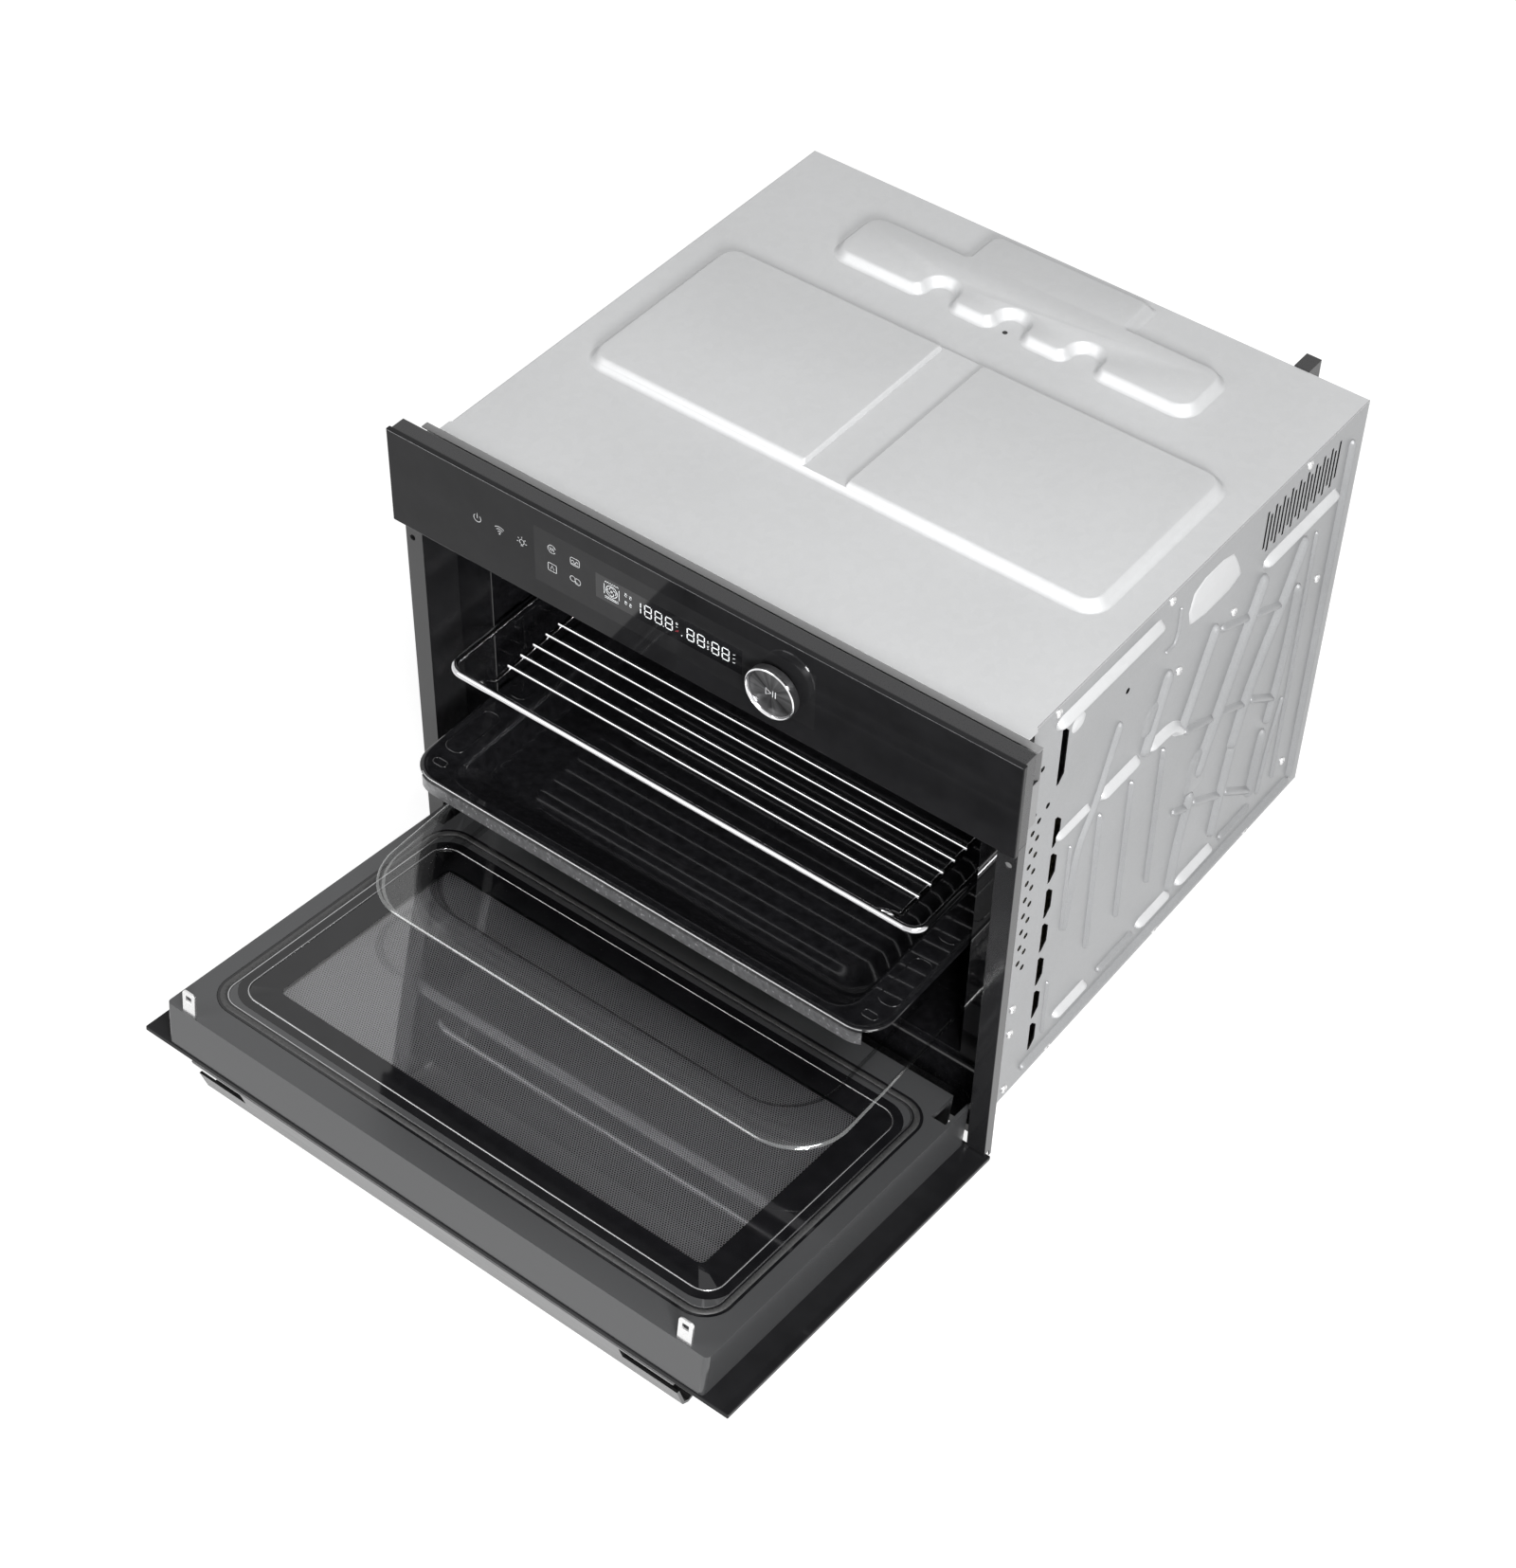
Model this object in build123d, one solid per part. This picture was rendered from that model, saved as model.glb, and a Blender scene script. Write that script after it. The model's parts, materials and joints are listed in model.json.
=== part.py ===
from build123d import *
import os
from math import atan2, cos, degrees, hypot, pi, sin

# Built-in compact oven, drawn with its door open and its shelves pulled out.
# Millimetres, +Z up, front towards -Y. The origin is the middle of the housing's underside.
# A depth is counted back from the front face of the glass.

# Front glass
FRONT_WIDTH = 595.0
PANEL_RISE = 14.0
PANEL_HEIGHT = 92.5
GLASS = 4.5
DOOR_GAP = 4.0
DOOR_BOTTOM = -0.5

# Housing of galvanised sheet
FRONT_OVERHANG = 22.5
HOUSING_HEIGHT = 427.0
HOUSING_DEPTH = 475.8
SHEET = 1.0
COVER_OVERHANG = 11.2
PAD_HEIGHT = 8.0
PAD_CORNER = 22.0
PAD_MARGIN = 28.0
PAD_FRONT = 170.0
PAD_LENGTH = 198.0
PAD_CHANNEL = (-25.0, 13.5)
PAD_CHANNEL_DEPTH = 4.0
REAR_PAD_MARGIN = 97.0
REAR_PAD_LENGTH = 70.0
REAR_PAD_SETBACK = 46.8
REAR_PAD_CORNER = 19.0
REAR_STEP_X = (-82.0, 82.0)
REAR_STEP_SETBACK = 6.8
SCALLOP_X = (-70.0, 0.0, 71.0)
SCALLOP_RADIUS = 17.0

# Cut-outs and screws of the housing
SIDE_SLOT_SETBACK = 40.0
SIDE_SLOT_WIDTH = 9.4
SIDE_SLOT_BELOW_TOP = (31.0, 89.0)
SIDE_NOTCH_COUNT = 7
SIDE_NOTCH_FIRST = 29.0
SIDE_NOTCH_STEP = 39.7
SIDE_NOTCH_HEIGHT = 32.0
SIDE_CUT_SLANT = 7.0
SIDE_HOLE_SETBACKS = (13.0, 20.5)
SIDE_HOLE_FIRST = (164.0, 153.5)
SIDE_HOLE_ROWS = 10
SIDE_HOLE_STEP = 18.2
SIDE_HOLE_RADIUS = 2.7
LONE_HOLE_SETBACKS = (17.0, 31.0, 132.0)
LONE_HOLE_HEIGHTS = (374.0, 325.0, 366.0)
VENT_BELOW_TOP = (34.0, 40.0)
VENT_COLUMNS = 10
VENT_STEP = 12.2
VENT_SETBACK = 40.0
VENT_STAGGER = 6.1
VENT_WIDTH = 3.0
VENT_HEIGHT = 38.0
REAR_VENT_ROWS = 3
REAR_VENT_HALF_COUNT = 8
REAR_VENT_STEP_X = 18.0
REAR_VENT_STEP_Z = 12.0
REAR_VENT_WIDTH = 10.0
REAR_VENT_HEIGHT = 4.0
REAR_VENT_RISE = 30.0
SCREW_RADIUS = 4.0
SCREW_HEAD = 2.0
UPPER_FRONT_SCREWS = ((31.0, 7.0), (183.0, 7.0), (211.0, 99.0))
UPPER_REAR_SCREWS = ((91.8, 7.0), (184.8, 95.0), (37.8, 163.0))
LOWER_FRONT_SCREWS = ((13.0, 110.0), (13.0, 80.0), (14.0, 10.0), (76.0, 6.0), (239.0, 6.0))
LOWER_REAR_SCREWS = ((36.8, 50.0), (89.8, 6.0))

# Front frame and mounting flange
SEAL_GAP = 1.0
FLANGE_DEPTH = (9.6, 19.5)
FLANGE_INSET = 3.0
FLANGE_END = -7.0
FRONT_DROP = 14.0
RECESS_STEP = 2.0
MOUNT_HOLE = 5.5
MOUNT_HOLE_DROP = 20.5
MOUNT_HOLE_INSET = 7.0
PLATE_DROP = 3.0
SILL_SETBACK = 5.0
SILL_LIP = 8.0

# Control panel
CARRIER_DEPTH = 13.5
CARRIER_INSET = 2.0
CARRIER_WALL = 2.0
SUPPORT_DEPTH = (31.0, 38.0)
SUPPORT_INSET = 8.0
BOARD = 1.6
BOARD_HALF = 160.0
BOARD_HEIGHT = 60.0
DISPLAY_X = (-90.0, 50.0)
DISPLAY_HALF_HEIGHT = 14.0
DISPLAY_DEPTH = 4.0

# Push-and-turn knob
KNOB_X = 85.7
KNOB_RADIUS = 22.8
KNOB_HEIGHT = 13.5
KNOB_NECK_RADIUS = 17.0
KNOB_NECK = 5.0
KNOB_RING_WIDTH = 3.2
KNOB_RECESS = 2.0
KNOB_PRESS = 1.5
KNOB_GAP = KNOB_PRESS + 0.5
KNOB_SKIN = 2.0
SHAFT_RADIUS = 3.0
SHAFT_HOLE = 5.0
ENCODER = 15.0
RUNNING_FIT = 0.06

# Door
DOOR_OPEN_ANGLE = 82.9
DOOR_BODY = 42.5
DOOR_SIDE_GAP = 4.0
DOOR_BODY_BOTTOM = 2.0
DOOR_TOP_STEP = 1.0
DOOR_WALL = 1.5
DOOR_INNER_WALL = 6.0
DOOR_CORNER = 4.0
HINGE_DEPTH = 15.5
HINGE_Z = 0.0
GASKET_MARGIN = 17.0
GASKET_WIDTH = 10.0
GASKET_DEPTH = 4.5
GASKET_PROUD = 0.6
GASKET_CORNER = 27.0
INNER_GLASS_INSET = (1.0, 6.5)
INNER_GLASS = 3.5
INNER_GLASS_CORNER = 17.0
WINDOW_BORDER = (24.0, 21.0)
SCREEN_EDGE = 10.0
SCREEN = 1.0

# Profile handle along the door's upper edge
HANDLE_MARGIN = 51.5
HANDLE_SHEET = 2.6
HANDLE_REACH = 44.0
HANDLE_FLANGE = 20.0
HANDLE_SLOPE = 17.0
HANDLE_LIP = 13.0
GRIP_LENGTH = 52.0
GRIP_EDGE = 2.0
GRIP_SHARE = 0.45

# Latch hooks and hinges
HOOK_OUTSET = 10.0
HOOK_WIDTH = 13.5
HOOK_SHEET = 2.0
HOOK_REACH = 23.0
HOOK_HOLE = 6.0
HOOK_CLEARANCE = 2.0
HOOK_SLOT_HALF = 7.0
HINGE_OUTSET = 22.0
HINGE_SHEET = 3.0
HINGE_BOSS = 6.0
HINGE_PIN = 4.0
HINGE_NOTCH = (-6.0, 7.5)
HINGE_NOTCH_TOP = 33.0
HINGE_ARM = 70.0
HINGE_FOOT = 14.0
HINGE_BRACKET_DROP = 2.5

# Cavity of enamelled sheet, with its side rails
WALL_SPACE = 35.0
CAVITY_FLOOR = 44.0
TOP_SPACE = 124.0
REAR_SPACE = 73.0
RAIL_WIDTH = 12.0
RAIL_HEIGHT = 4.0
RAIL_ENDS = (12.0, 14.0)
RAIL_POST = 10.0
RAIL_POST_INSET = 20.0
INSULATION_INSET = 12.0
INSULATION = 14.0

# Shelves, where they are drawn out to
SHELF_GAP = 5.0
SHELF_END_GAP = 27.8
SLIDE_GAP = 0.3
RACK_FRONT = -17.5
RACK_BELOW_TOP = 65.5
RACK_ROD = 3.0
RACK_WIRE = 1.5
RACK_DROP = 12.5
RACK_CARRIER = 2.4
RACK_CARRIER_INSET = 31.5
RACK_RISER_RUN = 20.0
RACK_FIRST_WIRE = 42.0
RACK_WIRE_STEP = 15.9
RACK_CORNER = 13.0
TRAY_FRONT = -72.0
TRAY_Z = 166.5
TRAY_SHEET = 1.2
TRAY_RIM = (34.0, 11.0)
TRAY_BASIN = 26.0
TRAY_SLOPE = (8.0, 34.0)
TRAY_CORNER = 27.0
TRAY_MOUTH_CORNER = 20.0
DISH_FRONT = -148.4
DISH_LENGTH = 276.0
DISH_Z = 87.5
DISH_GLASS = 5.0
DISH_RIM = (27.0, 27.0)
DISH_WELL = 12.0
DISH_SLOPE = (6.0, 6.0)
DISH_CORNER = 52.0
DISH_MOUTH_CORNER = 54.0

# Heating, light and air
BACK_HOLE_RINGS = (24.0, 38.0, 52.0)
BACK_HOLE_COUNTS = (10, 16, 22)
BACK_HOLE_RADIUS = 4.0
FAN_RADIUS = 72.0
FAN_BLADES = 12
FAN_WIDTH = 18.0
FAN_HUB = 10.0
FAN_BLADE_START = 20.0
FAN_GAP = 5.0
CHAMBER_HALF = 118.0
CHAMBER_DEPTH = 32.0
HEATER_ROD = 3.5
HEATER_LEG_X = 20.0
GRILL_DROP = 14.0
GRILL_MARGIN = 70.0
GRILL_INNER = 60.0
GRILL_SETBACK = 60.0
GRILL_BEND = 30.0
MOTOR_RADIUS = 34.0
MOTOR_EAR = 12.0
MOTOR_BORE = 10.0
MOTOR_GAP = 5.0
BLOWER_RADIUS = 28.0
BLOWER_HALF = 120.0
BLOWER_DEPTH = 130.0
BLOWER_VANES = 18
BLOWER_VANE = 5.0
BLOWER_VANE_HALF = 0.6
BLOWER_SHEET = 2.0
BLOWER_CASE_GAP = 6.0
BLOWER_MOTOR_LENGTH = 40.0
BLOWER_FOOT = 10.0
LAMP_RADIUS = 22.0
LAMP_DEPTH_SHARE = 0.62
LAMP_DROP = 18.0
LAMP_SEAT = 4.0
LAMP_CAP = 6.0
SPACER_INSET = 56.0
SPACER_WIDTH = 14.0
SPACER_REACH = 20.0
SPACER_HEIGHT = 24.0
SPACER_WALL = 3.0

# Power pieces on the deck over the cavity
MAGNETRON_X = (-190.0, -100.0)
MAGNETRON_DEPTH = (330.0, 420.0)
MAGNETRON_HEIGHT = 70.0
FIN_COUNT = 5
FIN_STEP = 10.0
FIN_SLOT = 6.0
FIN_LENGTH = 20.0
WAVEGUIDE_LENGTH = 120.0
WAVEGUIDE_HEIGHT = 40.0
WAVEGUIDE_INSET = 5.0
DECK_BOARD = 4.0
INVERTER_X = (60.0, 210.0)
INVERTER_DEPTH = (330.0, 440.0)
TRANSFORMER = 50.0
TRANSFORMER_HEIGHT = 55.0
HEAT_SINK = 45.0
HEAT_SINK_HEIGHT = 35.0
POWER_BOARD_INSET = 25.0
POWER_BOARD_WIDTH = 100.0
POWER_BOARD_DEPTH = (120.0, 260.0)
RELAY = 40.0
RELAY_HEIGHT = 28.0
PIECE_MARGIN = 20.0
TERMINAL_X = (150.0, 210.0)
TERMINAL_DEPTH = 34.0
TERMINAL_HEIGHT = 26.0
TERMINAL_WAYS = 3
TERMINAL_WAY = 10.0
SWITCH_WALL = 3.0
SWITCH_MARGIN = 5.0
SWITCH_DEPTH = 40.0

# How far a cut runs past the face that it opens
CUT = 1.0

# Places worked out from the sizes above
PANEL_TOP = HOUSING_HEIGHT + PANEL_RISE
PANEL_BOTTOM = PANEL_TOP - PANEL_HEIGHT
PANEL_MIDDLE = (PANEL_TOP + PANEL_BOTTOM) / 2
DOOR_TOP = PANEL_BOTTOM - DOOR_GAP
DOOR_INNER_FACE = GLASS + DOOR_BODY
PLATE_FRONT = DOOR_INNER_FACE + SEAL_GAP
HOUSING_FRONT = PLATE_FRONT + SHEET
HOUSING_BACK = HOUSING_FRONT + HOUSING_DEPTH
ORIGIN_DEPTH = (HOUSING_FRONT + HOUSING_BACK) / 2
HOUSING_HALF = FRONT_WIDTH / 2 - FRONT_OVERHANG
COVER_BOTTOM = HOUSING_HEIGHT - SHEET
RECESS_HALF = HOUSING_HALF + RECESS_STEP
DOOR_BODY_HALF = RECESS_HALF - DOOR_SIDE_GAP
DOOR_BODY_TOP = DOOR_TOP - DOOR_TOP_STEP
FLANGE_HALF = FRONT_WIDTH / 2 - FLANGE_INSET
PLATE_TOP = PANEL_BOTTOM + DOOR_GAP
CARRIER_BACK = GLASS + CARRIER_DEPTH
CAVITY_HALF = HOUSING_HALF - WALL_SPACE
CAVITY_TOP = HOUSING_HEIGHT - TOP_SPACE
CAVITY_DEPTH = HOUSING_DEPTH - REAR_SPACE
CAVITY_BACK = HOUSING_FRONT + CAVITY_DEPTH
CAVITY_MIDDLE = (CAVITY_FLOOR + CAVITY_TOP) / 2
DECK_Z = CAVITY_TOP + SHEET + INSULATION
DECK_TOP = DECK_Z + SHEET
GASKET_HALF = CAVITY_HALF + GASKET_MARGIN
GASKET_Z = (CAVITY_FLOOR - GASKET_MARGIN, CAVITY_TOP + GASKET_MARGIN)
PANE_HALF = CAVITY_HALF - INNER_GLASS_INSET[0]
PANE_Z = (CAVITY_FLOOR + INNER_GLASS_INSET[1], CAVITY_TOP - INNER_GLASS_INSET[1])
WINDOW_HALF = PANE_HALF - WINDOW_BORDER[0]
WINDOW_Z = (PANE_Z[0] + WINDOW_BORDER[1], PANE_Z[1] - WINDOW_BORDER[1])
HANDLE_HALF = FRONT_WIDTH / 2 - HANDLE_MARGIN
HOOK_X = CAVITY_HALF + HOOK_OUTSET
HINGE_X = CAVITY_HALF + HINGE_OUTSET
SHELF_HALF = CAVITY_HALF - SHELF_GAP
SHELF_LENGTH = CAVITY_DEPTH - SHELF_END_GAP
RACK_CARRIER_HALF = SHELF_HALF - RACK_CARRIER_INSET
RACK_Z = CAVITY_TOP - RACK_BELOW_TOP
RAIL_TOPS = (
    DISH_Z - DISH_GLASS - SLIDE_GAP,
    TRAY_Z - TRAY_SHEET - SLIDE_GAP,
    RACK_Z - RACK_ROD - SLIDE_GAP,
)


def span(half):
    """Limits of something that is symmetric about the middle."""
    return (-half, half)


def block(x, depth, z):
    """Box between pairs of limits."""
    centre = ((x[0] + x[1]) / 2, (depth[0] + depth[1]) / 2 - ORIGIN_DEPTH, (z[0] + z[1]) / 2)
    return Pos(*centre) * Box(x[1] - x[0], depth[1] - depth[0], z[1] - z[0])


def rod_x(x, depth, z, radius):
    """Round bar across the oven."""
    place = Pos((x[0] + x[1]) / 2, depth - ORIGIN_DEPTH, z)
    return place * Rot(0, 90, 0) * Cylinder(radius, x[1] - x[0])


def rod_y(x, depth, z, radius):
    """Round bar from front to back."""
    place = Pos(x, (depth[0] + depth[1]) / 2 - ORIGIN_DEPTH, z)
    return place * Rot(90, 0, 0) * Cylinder(radius, depth[1] - depth[0])


def flat_outline(half, depth, z, corner):
    """Rounded rectangle that lies flat at height z."""
    middle = (depth[0] + depth[1]) / 2 - ORIGIN_DEPTH
    return Pos(0, middle, z) * RectangleRounded(2 * half, depth[1] - depth[0], corner)


def upright_slab(half, depth, z, corner):
    """Rounded rectangle that stands across the oven, between two depths."""
    plane = Plane((0, depth[0] - ORIGIN_DEPTH, (z[0] + z[1]) / 2), x_dir=(1, 0, 0), z_dir=(0, 1, 0))
    return extrude(plane * RectangleRounded(2 * half, z[1] - z[0], corner), depth[1] - depth[0])


def upright_ring(half, depth, z, corner, width):
    """Rounded rectangular ring that stands across the oven."""
    inner_z = (z[0] + width, z[1] - width)
    return upright_slab(half, depth, z, corner) - upright_slab(half - width, depth, inner_z, corner - width)


def bent_strip(points, thickness, x):
    """Sheet bent through (depth, z) points, with round bends, between two x limits."""
    section = Sketch()
    for start, end in zip(points, points[1:]):
        run = (end[0] - start[0], end[1] - start[1])
        middle = ((start[0] + end[0]) / 2 - ORIGIN_DEPTH, (start[1] + end[1]) / 2)
        turn = degrees(atan2(run[1], run[0]))
        section += Pos(*middle) * Rot(0, 0, turn) * Rectangle(hypot(*run), thickness)
        section += Pos(end[0] - ORIGIN_DEPTH, end[1]) * Circle(thickness / 2)
    return extrude(Plane.YZ.offset(x[0]) * section, x[1] - x[0])


def mirrored(shape):
    """The same piece on the other side of the oven."""
    return mirror(shape, about=Plane.YZ)


def opened(shape):
    """A piece of the closed door, turned to where the open door holds it."""
    axis = Pos(0, HINGE_DEPTH - ORIGIN_DEPTH, HINGE_Z)
    return axis * Rot(DOOR_OPEN_ANGLE, 0, 0) * axis.inverse() * shape


# Housing

def base_plate():
    return block(span(HOUSING_HALF), (HOUSING_FRONT, HOUSING_BACK), (0, SHEET))


def cover_pad(outline):
    """Pressed pad with sloping sides, and the hollow under it."""
    raised = extrude(outline, PAD_HEIGHT, taper=45)
    return raised, Pos(0, 0, -SHEET) * raised


def top_cover():
    front = SUPPORT_DEPTH[1]
    cover = block(span(HOUSING_HALF), (front, HOUSING_BACK), (COVER_BOTTOM, HOUSING_HEIGHT))
    lip_half = HOUSING_HALF + RECESS_STEP
    cover += block(span(lip_half), (front, front + COVER_OVERHANG), (COVER_BOTTOM, HOUSING_HEIGHT))
    pad_depth = (PAD_FRONT, PAD_FRONT + PAD_LENGTH)
    raised, hollow = cover_pad(flat_outline(HOUSING_HALF - PAD_MARGIN, pad_depth, HOUSING_HEIGHT, PAD_CORNER))
    channel_floor = HOUSING_HEIGHT + PAD_HEIGHT - PAD_CHANNEL_DEPTH
    channel_z = (channel_floor, channel_floor + 2 * PAD_CHANNEL_DEPTH)
    cover += raised - block(PAD_CHANNEL, pad_depth, channel_z)
    under_x = (PAD_CHANNEL[0] - SHEET, PAD_CHANNEL[1] + SHEET)
    under_z = (channel_z[0] - SHEET, channel_z[1])
    cover -= hollow - block(under_x, pad_depth, under_z)
    rear_depth = (HOUSING_BACK - REAR_PAD_SETBACK - REAR_PAD_LENGTH, HOUSING_BACK - REAR_PAD_SETBACK)
    rear = flat_outline(HOUSING_HALF - REAR_PAD_MARGIN, rear_depth, HOUSING_HEIGHT, REAR_PAD_CORNER)
    step_half = (REAR_STEP_X[1] - REAR_STEP_X[0]) / 2
    step_depth = (rear_depth[0], HOUSING_BACK - REAR_STEP_SETBACK)
    rear += Pos(sum(REAR_STEP_X) / 2, 0, 0) * flat_outline(step_half, step_depth, HOUSING_HEIGHT, SHEET)
    for x in SCALLOP_X:
        rear -= Pos(x, rear_depth[0] - ORIGIN_DEPTH, HOUSING_HEIGHT) * Circle(SCALLOP_RADIUS)
    raised, hollow = cover_pad(rear)
    return cover + raised - hollow


def side_hole(setback, z):
    """Where a hole through the right side panel has its middle."""
    return Pos(HOUSING_HALF, HOUSING_FRONT + setback - ORIGIN_DEPTH, z) * Rot(0, 90, 0)


def side_cut(front, z):
    """Cut through the right side panel: upright in front, with slanted corners behind."""
    low, high = z
    back = front + SIDE_SLOT_WIDTH
    bend = front + SIDE_SLOT_WIDTH / 3
    corners = [
        (front, low), (bend, low), (back, low + SIDE_CUT_SLANT),
        (back, high - SIDE_CUT_SLANT), (bend, high), (front, high),
    ]
    shape = Polygon(*[(depth - ORIGIN_DEPTH, height) for depth, height in corners], align=None)
    return extrude(Plane.YZ.offset(HOUSING_HALF - 2 * SHEET) * shape, 3 * SHEET)


def side_panel():
    x = (HOUSING_HALF - SHEET, HOUSING_HALF)
    panel = block(x, (HOUSING_FRONT, HOUSING_BACK - SHEET), (SHEET, COVER_BOTTOM))
    slot_front = HOUSING_FRONT + SIDE_SLOT_SETBACK
    slot_z = (HOUSING_HEIGHT - SIDE_SLOT_BELOW_TOP[1], HOUSING_HEIGHT - SIDE_SLOT_BELOW_TOP[0])
    cuts = [side_cut(slot_front, slot_z)]
    for row in range(SIDE_NOTCH_COUNT):
        low = SIDE_NOTCH_FIRST + SIDE_NOTCH_STEP * row
        cuts.append(side_cut(slot_front + SIDE_SLOT_WIDTH / 2, (low, low + SIDE_NOTCH_HEIGHT)))
    holes = list(zip(LONE_HOLE_SETBACKS, LONE_HOLE_HEIGHTS))
    for setback, first in zip(SIDE_HOLE_SETBACKS, SIDE_HOLE_FIRST):
        holes += [(setback, first + SIDE_HOLE_STEP * row) for row in range(SIDE_HOLE_ROWS)]
    for setback, z in holes:
        cuts.append(side_hole(setback, z) * Cylinder(SIDE_HOLE_RADIUS, 4 * SHEET))
    through = (HOUSING_HALF - 2 * SHEET, HOUSING_HALF + SHEET)
    for row, drop in enumerate(VENT_BELOW_TOP):
        z = (HOUSING_HEIGHT - drop - VENT_HEIGHT / 2, HOUSING_HEIGHT - drop + VENT_HEIGHT / 2)
        for column in range(VENT_COLUMNS - row):
            back = HOUSING_BACK - VENT_SETBACK - VENT_STEP * column - VENT_STAGGER * row
            cuts.append(block(through, (back - VENT_WIDTH, back), z))
    return panel - cuts


def rear_panel():
    panel = block(span(HOUSING_HALF), (HOUSING_BACK - SHEET, HOUSING_BACK), (SHEET, COVER_BOTTOM))
    through = (HOUSING_BACK - 2 * SHEET, HOUSING_BACK + SHEET)
    for row in range(REAR_VENT_ROWS):
        low = DECK_TOP + REAR_VENT_RISE + REAR_VENT_STEP_Z * row
        for column in range(-REAR_VENT_HALF_COUNT, REAR_VENT_HALF_COUNT + 1):
            left = REAR_VENT_STEP_X * column - REAR_VENT_WIDTH / 2
            panel -= block((left, left + REAR_VENT_WIDTH), through, (low, low + REAR_VENT_HEIGHT))
    return panel


def rear_spacer():
    top = HOUSING_HEIGHT + SHEET
    right = HOUSING_HALF - SPACER_INSET
    left = right - SPACER_WIDTH
    body = block((left, right), (HOUSING_BACK, HOUSING_BACK + SPACER_REACH), (top - SPACER_HEIGHT, top))
    return body - block(
        (left + SPACER_WALL, right - SPACER_WALL),
        (HOUSING_BACK, HOUSING_BACK + SPACER_REACH - SPACER_WALL),
        (top - SPACER_HEIGHT, top - SPACER_WALL),
    )


def screw_places():
    """Setback and height of each screw on a side panel."""
    places = [(setback, HOUSING_HEIGHT - drop) for setback, drop in UPPER_FRONT_SCREWS]
    places += [(HOUSING_DEPTH - ahead, HOUSING_HEIGHT - drop) for ahead, drop in UPPER_REAR_SCREWS]
    places += LOWER_FRONT_SCREWS
    places += [(HOUSING_DEPTH - ahead, z) for ahead, z in LOWER_REAR_SCREWS]
    return places


def housing_screws():
    heads = []
    for setback, z in screw_places():
        head = side_hole(setback, z) * Pos(0, 0, SCREW_HEAD / 2) * Cylinder(SCREW_RADIUS, SCREW_HEAD)
        heads += [head, mirrored(head)]
    return Compound(children=heads)


# Front frame

def hook_x(margin):
    """Limits across a latch hook, with a margin on each side."""
    half = HOOK_WIDTH / 2 + margin
    return (HOOK_X - half, HOOK_X + half)


def front_plate():
    plate = block(span(RECESS_HALF), (PLATE_FRONT, HOUSING_FRONT), (-PLATE_DROP, PLATE_TOP))
    through = (PLATE_FRONT - CUT, HOUSING_FRONT + CUT)
    plate -= block(span(CAVITY_HALF), through, (CAVITY_FLOOR, CAVITY_TOP))
    slot_z = (DOOR_BODY_TOP - HOOK_SLOT_HALF, DOOR_BODY_TOP + HOOK_SLOT_HALF)
    slot = block(hook_x(HOOK_CLEARANCE), through, slot_z)
    return plate - slot - mirrored(slot)


def front_flange():
    top = PANEL_BOTTOM - SHEET
    z = (FLANGE_END, top)
    flange = block((RECESS_HALF, FLANGE_HALF), (FLANGE_DEPTH[0], FLANGE_DEPTH[0] + SHEET), z)
    flange += block((FLANGE_HALF - SHEET, FLANGE_HALF), FLANGE_DEPTH, z)
    lip_depth = (HINGE_DEPTH + SHEET, FLANGE_DEPTH[1])
    flange += block((FLANGE_HALF - SHEET, FLANGE_HALF), lip_depth, (-FRONT_DROP, top))
    flange += block((RECESS_HALF, RECESS_HALF + SHEET), (FLANGE_DEPTH[0], HOUSING_FRONT), z)
    return flange - rod_y(
        FLANGE_HALF - MOUNT_HOLE_INSET,
        (FLANGE_DEPTH[0] - CUT, FLANGE_DEPTH[0] + 2 * SHEET),
        PANEL_BOTTOM - MOUNT_HOLE_DROP,
        MOUNT_HOLE / 2,
    )


def front_sill():
    front = FLANGE_DEPTH[1] + SILL_SETBACK
    sill = block(span(RECESS_HALF), (front, HOUSING_FRONT), (-PLATE_DROP - SHEET, -PLATE_DROP))
    lip_z = (-PLATE_DROP - SHEET - SILL_LIP, -PLATE_DROP)
    return sill + block(span(RECESS_HALF), (front, front + SHEET), lip_z)


# Control panel and knob

def control_panel_glass():
    glass = block(span(FRONT_WIDTH / 2), (0, GLASS), (PANEL_BOTTOM, PANEL_TOP))
    return glass - rod_y(KNOB_X, (-CUT, GLASS + CUT), PANEL_MIDDLE, SHAFT_HOLE)


def control_panel_carrier():
    half = FRONT_WIDTH / 2 - CARRIER_INSET
    z = (PANEL_BOTTOM + CARRIER_INSET / 2, PANEL_TOP - CARRIER_INSET / 4)
    carrier = block(span(half), (GLASS, CARRIER_BACK), z)
    carrier -= block(
        span(half - CARRIER_WALL),
        (GLASS + CARRIER_WALL, CARRIER_BACK + CUT),
        (z[0] + CARRIER_WALL, z[1] - CARRIER_WALL),
    )
    return carrier - rod_y(KNOB_X, (GLASS - CUT, CARRIER_BACK), PANEL_MIDDLE, SHAFT_HOLE)


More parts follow.
